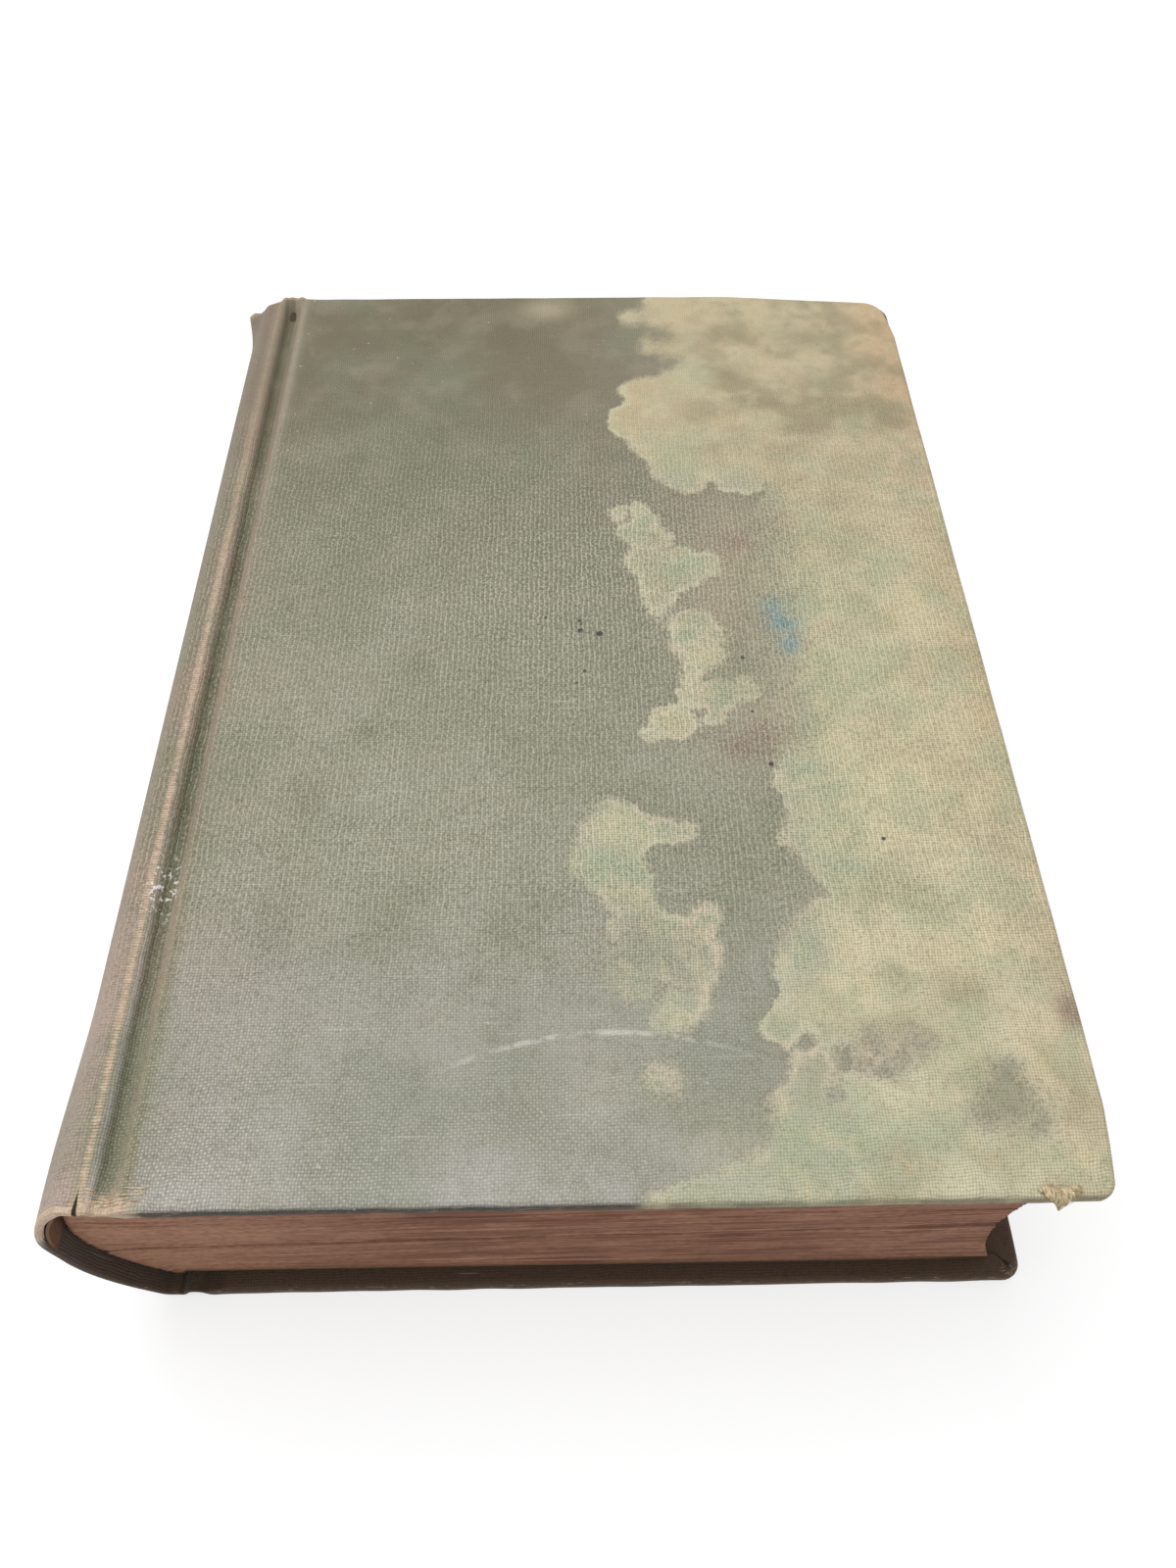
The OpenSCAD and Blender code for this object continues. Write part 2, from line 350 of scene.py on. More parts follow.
class Weave:
    """The threads of plain-woven cotton. The product of two sines is positive where the
    warp is on top and negative where the weft is, and its size is the height of the
    crown over each crossing. Marks are placed by x and y in millimetres, and clear is
    how far the threads stand out, less towards the head."""

    def __init__(self, f):
        x, y, z = f.parts(f.place)
        self.x = (x - MARKS_X) * 1000
        self.y = y * 1000
        self.front = z.step(MIDDLE + 5 * MM, TOP - 5 * MM)
        self.clear = self.y.step(10, 90, 1, 0.35)
        u, v, _ = f.parts(f.weave())
        sway = (f.noise(4 * MM, detail=1) - 0.5) * (0.9 * MM)
        self.turn_u = ((u + sway) * (math.pi / THREAD)).sine()
        self.turn_v = ((v + sway) * (math.pi / THREAD)).sine()
        self.cross = self.turn_u * self.turn_v
        self.crown = abs(self.cross)
        self.speck = f.noise(0.5 * MM, detail=2, where=f.weave(), seed=12)
        self.off_speck = (self.speck - 0.5) * self.clear
        # face is the share of cloth outside the painted shade under the folded edges and in the turn-ins; thread
        # detail and blots fade out where it is low.
        self.face = f.field("face")
        self.crisp = f.field("crisp")


def stained_dye(f, w):
    """Dyed cloth and the stain on it, with the share of stain. The stain's edge is its
    distance field with noise added, and single threads take the stain or miss it. A
    pale rim lies just inside the edge and a tide line just outside."""
    stain = f.field("stain")
    for size, reach, seed in ((0.7, 0.9, 1), (2.2, 2.6, 5), (6.5, 5.0, 8)):
        stain = stain + (f.noise(size * MM, seed=seed) - 0.5) * reach
    fade = f.field("fade")
    soaked = stain.step(fade * -1, fade) + w.off_speck * 0.7
    inside = soaked.step(0.08, 0.92)
    rim = inside * stain.step(0.3, 1.9, 1, 0) * f.field("rim")
    tide = (1 - inside) * stain.step(-2.5, 0, 0, 0.14)

    ground = plain = f.field("ground", "Color")
    for size, low, share, seed, tint in ((22, 0.40, 0.45, 4, (122, 128, 104)),
                                         (9, 0.46, 0.24, 7, (158, 149, 129)),
                                         (2.8, 0.48, 0.16, 16, (114, 112, 88))):
        blots = f.noise(size * MM, detail=4, seed=seed).step(low, low + 0.22, 0, share)
        ground = f.mix(blots, ground, dye(*tint))
    ground = f.mix(w.face, plain, ground)

    bloom = f.field("bloom", "Color")
    mottle = f.field("mottle")
    for size, low, high, share, detail, seed, by, tint in (
        (9, 0.46, 0.62, 0.5, 4, 17, w.clear, (174, 181, 148)),
        (4, 0.48, 0.70, 0.5, 4, 18, w.clear, (214, 200, 166)),
        (10, 0.44, 0.66, 0.75, 2, 9, mottle, (138, 128, 100)),
        (3.6, 0.47, 0.72, 0.5, 3, 2, mottle, (146, 136, 108)),
        (1.1, 0.62, 0.72, 0.22, 3, 19, 1, (214, 172, 128)),
        (0.9, 0.50, 0.70, 0.24, 3, 20, w.clear, (142, 144, 112)),
    ):
        blots = f.noise(size * MM, detail=detail, seed=seed).step(low, high, 0, share)
        bloom = f.mix(blots * by, bloom, dye(*tint))
    colour = f.mix(inside, ground, bloom)
    cream = f.mix(f.noise(5 * MM, seed=14).step(0.42, 0.58), dye(212, 196, 172), dye(203, 200, 172))
    colour = f.mix(rim, colour, cream)
    return f.mix(tide, colour, dye(112, 104, 84)), inside


def thread_tones(f, w, colour, inside):
    """Threads darkened in the gaps between them, which is painted shade, and pale on top where
    they are rubbed and where a sheen is painted, their grain with every second warp as a rib,
    soil, and thick slubs of weft."""
    rub_and_sheen = f.field("rub_and_sheen")
    # Painted shade: the threads are darkened in the gaps between them.
    gap_shade = (inside * 0.22 + 0.34) * w.clear * w.crisp * w.crown.step(0.04, 0.5, 1, 0)
    colour = f.mix(gap_shade, colour, (0.38, 0.37, 0.29), "MULTIPLY")
    # Pale thread tops: rubbed cloth with a painted sheen.
    top = (w.crown * 0.72 + w.cross * 0.28 + w.off_speck * 1.4).step(0.20, 0.85)
    colour = f.mix(top * (rub_and_sheen * 0.46 + 0.05) * w.crisp * w.face, colour, dye(210, 208, 201))
    grain = f.noise(0.42 * MM, stretch=(1, 1.5, 1), detail=1, where=f.weave(), seed=23)
    rib = w.turn_u * 0.3 + (grain - 0.5) * 2.6
    ribbed = f.field("ribbed") * w.face
    colour = f.mix(rib.step(0, 0.5, 0, 0.64) * ribbed, colour, (0.52, 0.52, 0.46), "MULTIPLY")
    colour = f.mix(rib.step(-0.5, 0, 0.27, 0) * ribbed, colour, dye(232, 228, 206))
    soil = w.speck.step(0.33, 0.47, 0.36, 0) * w.clear * w.crisp
    colour = f.mix(soil, colour, (0.46, 0.44, 0.36), "MULTIPLY")
    slub = f.noise(0.43 * MM, stretch=(26, 1, 1), detail=1, where=f.weave(), seed=15)
    slub = slub.step(0.66, 0.80, 0, 0.3) * rub_and_sheen.step(0.15, 0.5)
    return f.mix(slub, colour, dye(210, 204, 188))


def bare_threads(f, w, colour):
    """Undyed cotton where the face is worn off, breaking up along single threads."""
    wear = f.field("wear")
    rough = f.noise(0.9 * MM, stretch=(1.8, 0.6, 1), where=f.weave(), seed=8)
    frayed = wear + (rough - 0.5) * 0.9 + (abs(w.turn_v) - 0.6) * 0.35
    frayed = frayed.step(0.38, 0.78) * wear.step(0.02, 0.15, 0, 0.8)
    bare = f.mix(w.y.step(-10, 60), dye(214, 190, 166), dye(170, 150, 124))
    bare = f.mix(w.speck.step(0.42, 0.58, 0, 0.5), bare, dye(168, 134, 104))
    return f.mix(frayed, colour, bare)


# Ink specks on the front cover, as x, y and radius.
INK_SPECKS = [
    (4.3, 1.5, 0.45), (4.6, 0.6, 0.3), (4.5, -1.0, 0.6), (8.0, -1.8, 0.7), (5.1, -10.8, 0.35),
    (3.6, -13.5, 0.25), (34, -8, 0.45), (36.7, -32, 0.5), (34.5, -20.5, 0.3), (53.5, -47.3, 0.4),
    (-2.0, 2.4, 0.3), (-3.4, 0.6, 0.2),
]


def small_marks(f, w, colour):
    """The scratch across the tail, which is an arc, the slit in the joint, painted dark for the
    board and the shade in its opening, ink and dust, all on the front, and flecks of paint."""
    off_arc = abs(w.y + 80.3 + abs(w.x - 8) ** 2 * 0.009)
    scratch = off_arc.step(0.1, 0.7, 1, 0) * w.x.step(-22, -6) * w.x.step(12, 33, 1, 0)
    scratch = scratch * f.noise(2 * MM, seed=6).step(0.36, 0.60, 0, 0.45)
    rise = w.y + HALF_H / MM
    across = abs(w.x + ((MARKS_X - SHOULDER_X) / MM + 0.65))
    # The slit: painted dark, the board showing through with painted shade in the opening.
    slit = (across - rise.step(0, 3.4, 0.30, 0)).step(-0.06, 0.1, 1, 0)
    slit = slit * rise.step(2.9, 3.3, 1, 0)
    ink = 0
    for spot_x, spot_y, radius in INK_SPECKS:
        away = abs(w.x - spot_x) ** 2 + abs(w.y - spot_y) ** 2
        ink = away.step(radius ** 2 * 0.4, radius ** 2 * 1.3, 1, 0).greatest(ink)
    ink = ink * w.speck.step(0.36, 0.46, 0.35, 0.9)
    dust = f.noise(0.8 * MM, detail=0, seed=21).step(0.84, 0.90, 0, 0.35)
    for share, tint in ((scratch, (216, 212, 204)), (slit, (48, 32, 24)), (ink, (52, 48, 56)),
                        (dust, (216, 214, 206))):
        colour = f.mix(share * w.front, colour, dye(*tint))
    paint = f.field("paint") * f.noise(0.8 * MM, detail=2, seed=11).step(0.58, 0.64)
    return f.mix(paint, colour, dye(240, 237, 232))


def book_cloth():
    """Plain-woven cotton, dyed, stained, rubbed with painted shade and sheen on its threads,
    worn bare and marked, in that order.
    """
    f = Finish("book_cloth", roughness=0.74, specular=0.25, sheen=0.04)
    f.place = f.field("place", "Vector")
    w = Weave(f)
    colour, inside = stained_dye(f, w)
    colour = thread_tones(f, w, colour, inside)
    colour = bare_threads(f, w, colour)
    colour = small_marks(f, w, colour)
    normal = f.bump(w.crown, 0.08 * MM)
    normal = f.bump(w.speck, 0.10 * MM, under=normal)
    normal = f.bump(f.noise(2.2 * MM), 0.10 * MM, under=normal)
    return f.done(colour, normal)


def aged_paper():
    """Endpaper toned by age: fibres, brown foxing, a browner margin whose last strip is darker
    by age toning and painted shade, and, at the back, dark corners of brown stain and
    painted shade."""
    f = Finish("endpaper", roughness=0.85, specular=0.2)
    x, y, z = f.parts(f.place)
    x, y = abs(x), abs(y)
    toned = dye(182, 150, 108)
    reach = (y / HALF_H).greatest(x / FORE_X)
    wander = (f.noise(14 * MM) - 0.5) * 0.14
    colour = f.mix(f.noise(22 * MM, detail=4).step(0.35, 0.65, 0, 0.35), dye(214, 196, 160), toned)
    colour = f.mix((reach + wander).step(0.80, 1.02, 0, 0.6), colour, toned)
    foxing = f.noise(2.6 * MM, detail=2, seed=4).step(0.66, 0.74, 0, 0.5)
    colour = f.mix(foxing, colour, dye(150, 104, 62))
    fibre = f.noise(0.35 * MM, stretch=(3, 1, 1))
    colour = f.mix(fibre.step(0.3, 0.7, 0, 0.12), colour, dye(236, 222, 192))
    # The last strip of the margin: age toning with painted shade.
    colour = f.mix(reach.step(0.92, 0.97, 0, 0.85), colour, dye(112, 82, 64))
    # Dark corners at the back: brown stain with painted shade under the block.
    corner = x.step(FORE_X - 16 * MM, FORE_X - 9 * MM) * y.step(HALF_H - 26 * MM, HALF_H - 10 * MM)
    corner = corner * z.step(MIDDLE - 12 * MM, MIDDLE - 10 * MM, 0.92, 0)
    colour = f.mix(corner, colour, dye(74, 55, 43))
    return f.done(colour, f.bump(fibre, 0.03 * MM))


def gauze():
    """Open starched weave, with glue between its threads."""
    f = Finish("gauze", roughness=0.8)
    x, y, _ = f.parts(f.place)
    warp, weft = (abs((way * (math.pi / GAUZE_THREAD)).sine()) for way in (x, y))
    thread = warp.greatest(weft)
    colour = f.mix(thread.step(0.75, 0.95), dye(160, 128, 88), dye(206, 192, 160))
    colour = f.mix(f.noise(6 * MM).step(0.4, 0.7, 0, 0.3), colour, dye(132, 98, 62))
    return f.done(colour, f.bump(thread, 0.12 * MM))


def pulp(name, base, dark):
    """Grey-brown pulp, as in binder's board and in glued lining paper."""
    f = Finish(name, roughness=0.9, specular=0.15)
    fleck = f.noise(0.6 * MM, detail=4)
    colour = f.mix(fleck.step(0.35, 0.65, 0, 0.5), base, dark)
    colour = f.mix(f.noise(9 * MM, seed=2).step(0.4, 0.7, 0, 0.3), colour, dark)
    return f.done(colour, f.bump(fleck, 0.06 * MM))


def leaf_edges():
    """Trimmed edges of the leaves, toned rose-brown by age, with streaks that follow the
    leaves, painted shade in the gaps between gatherings and a painted highlight on a proud
    leaf: the piece's coordinates run along a leaf and across the pile."""
    f = Finish("leaf_edges", roughness=0.82, specular=0.2)
    x, _, _ = f.parts(f.place)
    streak, hair, band, mottle, grain = (
        f.noise(size * MM, stretch=(long, 1, 1), detail=detail, where=f.weave(), seed=seed)
        for size, long, detail, seed in ((0.34, 120, 5, 0), (0.8, 40, 5, 9), (2.4, 60, 3, 3),
                                         (5, 2.5, 5, 6), (0.6, 2, 4, 5))
    )
    colour = f.mix(streak.step(0.38, 0.62), dye(116, 79, 63), dye(167, 124, 100))
    for share, tint in (
        (hair.step(0.46, 0.62, 0, 0.55), (104, 68, 53)),
        (band.step(0.52, 0.72, 0, 0.3), (112, 76, 59)),
        (mottle.step(0.45, 0.70, 0, 0.5), (170, 128, 104)),
        (x.step(SHOULDER_X, SHOULDER_X + 50 * MM, 0.6, 0), (176, 132, 106)),
        (grain.step(0.42, 0.62, 0, 0.42), (112, 75, 58)),
        # Painted shade in the gaps between gatherings, and a painted highlight on the proud leaf beside them.
        (f.field("gap"), (58, 34, 25)),
        (f.field("proud"), (198, 160, 132)),
    ):
        colour = f.mix(share, colour, dye(*tint))
    return f.done(colour, f.bump(streak, 0.10 * MM))


def torn_cloth():
    """Torn cloth seen along its threads: dyed strands among bare ones."""
    f = Finish("torn_cloth", roughness=0.85, specular=0.2)
    strand = f.noise(0.28 * MM, stretch=(1, 4, 4))
    colour = f.mix(strand.step(0.38, 0.62), dye(142, 128, 96), dye(212, 198, 166))
    colour = f.mix(f.noise(1.2 * MM, seed=3).step(0.45, 0.62, 0, 0.5), colour, dye(186, 156, 118))
    return f.done(colour, f.bump(strand, 0.08 * MM))


def loose_thread():
    """Bare cotton where the dyed face is worn away."""
    f = Finish("loose_thread", roughness=0.85, specular=0.2, sheen=0.2)
    tone = f.noise(1.5 * MM, detail=4).step(0.35, 0.65)
    colour = f.mix(tone, dye(184, 150, 122), dye(220, 196, 168))
    return f.done(colour, f.bump(f.noise(0.2 * MM), 0.03 * MM))


# The case's cloth

def case_path():
    """The cloth's outer face in section, from the middle of the spine to the fore edge:
    an arc, a curve over the shoulder, the groove's two curves and the flat board, with
    heights above the middle of the book. Each point's zone is the spine, the way down
    into the groove, the way up or the board."""
    angles = np.radians([0, 0.3, 1.5, 4, 7, 10, 13, 16, 19, 22, 25, 28, 31, 33.5])
    arc = np.stack([BACK_X - SPINE_R * np.cos(angles), SPINE_R * np.sin(angles)], 1)
    a = ROUND_ANGLE
    end = np.array([BACK_X - SPINE_R * math.cos(a), SPINE_R * math.sin(a)])
    ridge = np.array([SHOULDER_X, SHOULDER_TOP - MIDDLE])
    reach = ridge[0] - end[0]
    over = curve(end, end + 0.45 * reach * np.array([math.sin(a), math.cos(a)]),
                 ridge - [0.4 * reach, 0], ridge, 18)
    floor = np.array([HINGE_X, GROOVE_FLOOR - MIDDLE])
    half = (floor[0] - ridge[0]) / 2
    down = curve(ridge, ridge + [half, 0], floor - [half, 0], floor, 10)[1:]
    crest = np.array([BOARD_RIDGE_X + 1.3 * MM, TOP - MIDDLE])
    up = curve(floor, [BOARD_RIDGE_X - 0.1 * MM, floor[1]], [BOARD_RIDGE_X - 0.5 * MM, crest[1]],
               crest, 12)[1:]
    near_fore = FORE_X - 5 * MM
    board_x = np.concatenate([np.linspace(crest[0], near_fore, 116)[1:],
                              np.linspace(near_fore, FORE_X - EDGE_R, 10)[1:]])
    board = np.stack([board_x, np.full(len(board_x), TOP - MIDDLE)], 1)
    path = np.concatenate([arc, over, down, up, board])
    zones = np.repeat([0, 1, 2, 3], [len(arc) + len(over), len(down), len(up), len(board)])
    return path, zones


def by_zone(zones, sizes):
    """A size in millimetres for each zone of the path, made metres and smoothed along
    the path by a bell of seven points."""
    share = np.hanning(9)[1:-1] / np.hanning(9).sum()
    return np.convolve(np.pad(np.choose(zones, sizes) * MM, 3, mode="edge"), share, mode="valid")


def edge_stations():
    """Stations from tail to head as shares from -1 to 1, closer together over the last
    5 mm at both ends."""
    end = 1 - 5 / 104
    return np.concatenate([
        np.linspace(-1, -end, 12)[:-1], np.linspace(-end, end, 157), np.linspace(end, 1, 12)[1:],
    ])


def corner_offsets(points, radius, sign):
    """Offsets from the centre of a rounded corner, positive towards the corner."""
    centre = np.array([FORE_X - radius, sign * (HALF_H - radius)])
    return centre, (points[..., :2] - centre) * [1, sign]


def round_corner(points, radius, sign):
    """The square of cloth at a corner drawn in to a quarter disc: each point keeps its
    direction from the corner's centre and takes its larger offset as its distance."""
    centre, off = corner_offsets(points, radius, sign)
    inside = (off > 0).all(axis=-1)
    length = np.linalg.norm(off, axis=-1)
    share = np.where(inside, off.max(axis=-1) / np.maximum(length, 1e-9), 1)
    points[..., 0] = centre[0] + off[..., 0] * share
    points[..., 1] = centre[1] + sign * off[..., 1] * share
    return points


def fold_profile():
    """The folded edge in section, a row for each point. A point lies outward by its
    first number times the fold's radius and its second times the run of the turn-in,
    and down by its third times the radius and its fourth times the stack's height: a
    quarter turn over the edge, a quarter turn under it, and the run in."""
    quarter = np.radians(np.linspace(0, 90, 6))[1:]
    rows = [(0.0, 0.0, 0.0, 0.0)]
    rows += [(np.sin(q), 0.0, 1 - np.cos(q), 0.0) for q in quarter]
    rows += [(np.cos(q), 0.0, -(1 - np.sin(q)), 1.0) for q in (0, *quarter)]
    rows += [(0.0, -s, 0.0, 1.0) for s in (0.03, 0.15, 0.4, 0.7, 1.0)]
    return np.array(rows)


def edge_directions(edge, i, j, rows, columns, corners):
    """Outward direction at every point of the sheet's free edge, turning round the
    rounded corners, and which points lie along the fore edge."""
    fore = (i == rows - 1) & (j > 0) & (j < columns - 1)
    outward = np.zeros_like(edge)
    outward[:, 1] = np.where(j == 0, -1.0, np.where(j == columns - 1, 1.0, 0.0))
    outward[fore] = [1, 0, 0]
    for radius, sign in corners:
        _, off = corner_offsets(edge, radius, sign)
        near = (off > -1e-7).all(axis=1)
        outward[near, 0] = off[near, 0]
        outward[near, 1] = sign * off[near, 1]
    return outward / np.linalg.norm(outward, axis=1)[:, None], fore


def case_sheet(tail_r, head_r):
    """One half of the case's cloth, from the middle of the spine to the turn-ins. Its
    top is a grid of the section's path by stations along the height. Round its three
    free edges a skirt follows the fold's profile: out over the edge, down, in under it,
    and in along the inner face as far as the turn-in or the mitre. Gives the points,
    the quads, each point's length along the section and height along the cloth, and
    which points are turned in."""
    path, zones = case_path()
    stations = edge_stations()
    rows, columns = len(path), len(stations)

    # The fold's radius, and the height of what the cloth is folded round.
    fold_r = by_zone(zones, [0.55, 0.33, 0.35, 0.9])
    stack = by_zone(zones, [1.25, 0.66, 0.66, 3.0])
    past_hinge = path[:, 0] > HINGE_X
    to_board = path[:, 1] + MIDDLE - board_low.z
    stack = np.where(past_hinge, np.maximum(0.66 * MM, to_board), stack)
    top = np.empty((rows, columns, 3))
    top[..., 0] = path[:, :1]
    top[..., 1] = stations * (HALF_H - fold_r[:, None])
    top[..., 2] = path[:, 1:] + MIDDLE
    corners = ((tail_r, -1), (head_r, 1))
    for radius, sign in corners:
        top = round_corner(top, radius, sign)
    tangent = np.gradient(path, axis=0)
    tangent /= np.linalg.norm(tangent, axis=1)[:, None]
    inward = np.stack([tangent[:, 1], np.zeros(rows), -tangent[:, 0]], 1)
    inward[past_hinge] = [0, 0, -1]

    # The skirt starts on the free edge: the tail, the fore edge and the head in turn.
    i = np.concatenate([np.arange(rows), np.full(columns - 2, rows - 1), np.arange(rows)[::-1]])
    j = np.concatenate([np.zeros(rows, int), np.arange(1, columns - 1), np.full(rows, columns - 1)])
    edge = top[i, j]
    outward, fore = edge_directions(edge, i, j, rows, columns, corners)
    mitre = np.where(fore, HALF_H - np.abs(edge[:, 1]), FORE_X - edge[:, 0])
    run = np.maximum(np.minimum(TURN_IN, mitre) - 0.1 * MM - fold_r[i], 0.3 * MM)
    profile = fold_profile()
    out = profile[:, 0, None] * fold_r[i] + profile[:, 1, None] * run
    down = profile[:, 2, None] * fold_r[i] + profile[:, 3, None] * stack[i]
    skirt = edge + outward * out[..., None] + inward[i] * down[..., None]

    ring, rings = len(i), len(profile) - 1
    points = np.concatenate([top.reshape(-1, 3), skirt[1:].reshape(-1, 3)])
    rest = rows * columns + np.arange(ring * rings).reshape(-1, ring)
    index = np.concatenate([[i * columns + j], rest])
    a, b = index[:-1, :-1].ravel(), index[1:, :-1].ravel()
    c, d = index[1:, 1:].ravel(), index[:-1, 1:].ravel()
    quads = np.concatenate([grid_quads(rows, columns), np.stack([a, b, c, d], 1)])
    uv_top = np.stack([np.repeat(lengths(path), columns), top[..., 1].ravel()], 1)
    uv_edge = uv_top[index[0]][None] + outward[None, :, :2] * lengths(skirt)[..., None]
    uv = np.concatenate([uv_top, uv_edge[1:].reshape(-1, 2)])
    # The skirt counts as turned in from the middle of its quarter turn under the edge.
    first_turned = 8
    turned = np.repeat(np.arange(rings) >= first_turned, ring)
    return points, quads, uv, np.concatenate([np.zeros(rows * columns), turned])


def worn_outline(points):
    """Draws the front cover's outline in where it is worn: its head slopes down to the
    fore edge by 3 mm over 38 mm, and its fore edge comes in by 1.5 mm over the last
    13 mm at either end. The cloth turned in under it follows."""
    x, y = points[:, 0], points[:, 1]
    slope = 3 * MM * np.clip((x - FORE_X + 38 * MM) / (38 * MM), 0, 1)
    draw = 1.5 * MM * np.clip((13 * MM - HALF_H + np.abs(y)) / (13 * MM), 0, 1)
    moved = points.copy()
    moved[:, 1] -= slope * ease(y, HALF_H - 34 * MM, HALF_H - 12 * MM)
    moved[:, 0] -= draw * ease(x, FORE_X - 34 * MM, FORE_X - 12 * MM)
    return moved


def sprung_spine(points):
    """The spine's cloth stands off the back a little towards the tail, lifts out of the
    groove at both ends, and is bent up in a pointed ear at the head, beside a worn dip.
    The ear's height falls off as a bell around the shoulder's curve and as a power away
    from the head."""
    x, y, z = points.T
    from_tail, from_head = y + HALF_H, HALF_H - y
    loose = 1.1 * MM * ease(from_tail, 36 * MM, 5 * MM) * ease(z, MIDDLE, MIDDLE + 11 * MM)
    free = ease(x, SHOULDER_X - 0.5 * MM, SHOULDER_X - 6 * MM)
    away = np.stack([x - BACK_X, np.zeros(len(x)), (z - MIDDLE) * 0.6], 1)
    away /= np.linalg.norm(away, axis=1)[:, None]
    moved = points + away * (loose * free)[:, None]
    peak = np.hypot(x - SHOULDER_X + 8.2 * MM, z - MIDDLE - 18.3 * MM) / (3.0 * MM)
    ear = 4.0 * MM * np.exp(-peak ** 2) * np.clip(1 - from_head / (6 * MM), 0, 1) ** 1.8
    moved = moved + ear[:, None] * np.array([-0.34, 0.08, 0.95])
    dip = 1.4 * MM * np.exp(-((x - SHOULDER_X + 2.7 * MM) / (1.9 * MM)) ** 2)
    moved[:, 1] -= dip * ease(from_head, 9 * MM, 0.0)
    in_groove = ease(x, SHOULDER_X - 0.5 * MM, HINGE_X) * ease(x, BOARD_RIDGE_X + 1.5 * MM, HINGE_X)
    lift = 1.7 * MM * ease(from_tail, 7 * MM, 0.5 * MM) + 3.0 * MM * ease(from_head, 6 * MM, 0.3 * MM)
    moved[:, 2] += lift * in_groove * np.sign(z - MIDDLE)
    return moved


def rumpled(points, seed):
    """Slight unevenness of old cloth: a low ripple across the flats, and edges that
    wander by a few tenths of a millimetre, always outwards."""
    x, y, z = points.T
    moved = points.copy()
    side = np.sign(z - MIDDLE)
    outer = ease(np.abs(z - MIDDLE), TOP / 2 - 1.5 * MM, TOP / 2)
    moved[:, 2] += side * outer * MM * (0.05 * ripple(x, y, 60 * MM, seed) - 0.05)
    rim = ease(np.abs(y), HALF_H - 1.5 * MM, HALF_H)
    moved[:, 1] += np.sign(y) * rim * MM * 0.16 * (1 + ripple(x, y, 14 * MM, 51))
    rim = ease(x, FORE_X - 2 * MM, FORE_X - 0.6 * MM)
    moved[:, 0] += rim * MM * 0.12 * (1 + ripple(x, y, 18 * MM, 52))
    return moved


# Stains and wear of the cloth

# Lobes of the pale stain left by damp, as x, y and radius.
STAIN_LOBES = [
    (12.5, 30.5, 2.6), (16.5, 31.5, 2.6), (17.5, 27.5, 3.4), (15, 25, 3.3), (18.5, 22.5, 4),
    (18, 17, 4.6), (24, 16, 4.4), (28, 15.5, 3.6), (31, 14, 1.8), (20, 12, 5), (25, 12, 3.5),
    (19, 7, 3.4), (18.7, 4, 1.8), (25.5, -2, 5.4), (27, -7, 4), (25, -11, 2.2), (29, -17, 4.2),
    (33.5, -15.5, 2.6), (25, -18, 2.5), (28, -21, 2.4), (20.3, -22.8, 4), (16.5, -25.5, 2),
    (23.5, -16, 1.8), (10, -45.5, 6), (8, -51, 6), (11, -55, 5.5), (18, -45.5, 3),
    (21.5, -44.6, 1.6), (13, -58, 3.2), (14, -64, 6), (20, -63, 5), (20, -68, 5.5), (12, -69, 5),
    (21.5, -62, 4), (19.5, -76, 3.2), (17, -78, 2.6), (21, -73, 2.2), (15.5, -87.5, 2.3),
    (22, 52, 6.5), (26, 45, 6.5), (27, 41, 4.6), (38, 41, 5.6), (16.5, 59.5, 6), (20, 68, 6.3),
    (30, 76, 6), (22.5, 86, 3), (17, 96, 2.2), (34, 44, 5),
]
# Places inside it that stayed dark.
DRY_SPOTS = [
    (18, -50.5, 3.3), (19, -58, 2.8), (16, -39.5, 2.8), (27, -4, 0.9), (36.5, -82.5, 1.3),
    (41.8, -85, 2.0), (44.6, -85.6, 2.0), (47.3, -86, 1.9), (50, -84.6, 2.0), (52.3, -82.6, 1.8),
    (47, -83, 1.8), (39.5, -90.2, 1.9), (64.8, -87.5, 2.3), (64.2, -91.4, 4.2),
    (60.4, -94.2, 2.2), (68, -94.2, 2.4), (23, 90, 3.0), (25, 79, 2.6), (20, 91, 2),
]
# Edge of the wide stain along the fore edge, as y and x from the head to the tail.
STAIN_EDGE = [
    (106, 21), (95, 21), (91, 26), (88, 22), (84, 22), (80, 25), (76, 24), (73, 20), (65, 18),
    (55, 22), (50, 24), (46, 30), (43, 36), (40, 43), (30, 44), (20, 42), (0, 42.5), (-20, 42),
    (-30, 41), (-35, 37), (-40, 38), (-48, 37), (-50, 39), (-55, 41), (-58, 43), (-60, 40),
    (-63, 35), (-67, 34.5), (-75, 33.5), (-79, 30), (-81, 29.5), (-82.5, 33), (-87, 35),
    (-90, 31), (-93, 30), (-97, 29), (-99, 25), (-103, 15), (-106, 10),
]
# Where that edge fades more, as x, y, two half widths and millimetres.
SOFT_EDGES = [
    (12, -70, 8, 7, 3.0), (4, -45, 5, 6, 2.0), (16, -87, 5, 4, 2.5), (62, -90, 14, 9, 3.2),
    (46, -84, 9, 6, 1.8), (22, -97, 16, 7, 3.5), (40, -62, 6, 4, 1.5), (26, 90, 12, 14, 5.0),
    (34, -3, 5, 16, 2.0), (40, -46, 6, 9, 1.6),
]
# Where the pale rim is stronger or missing, as x, y, two half widths and the strength.
STRONG_RIMS = [(22, -68, 3.5, 12, 0.5), (36, -84, 5, 5, 0.3), (22, -5, 10, 34, 0.5)]
NO_RIMS = [
    (62, -90, 11, 9), (11, -70, 7, 8), (46, 5, 10, 34), (6, -52, 4, 6), (22, -97, 16, 7), (26, 90, 10, 14),
]

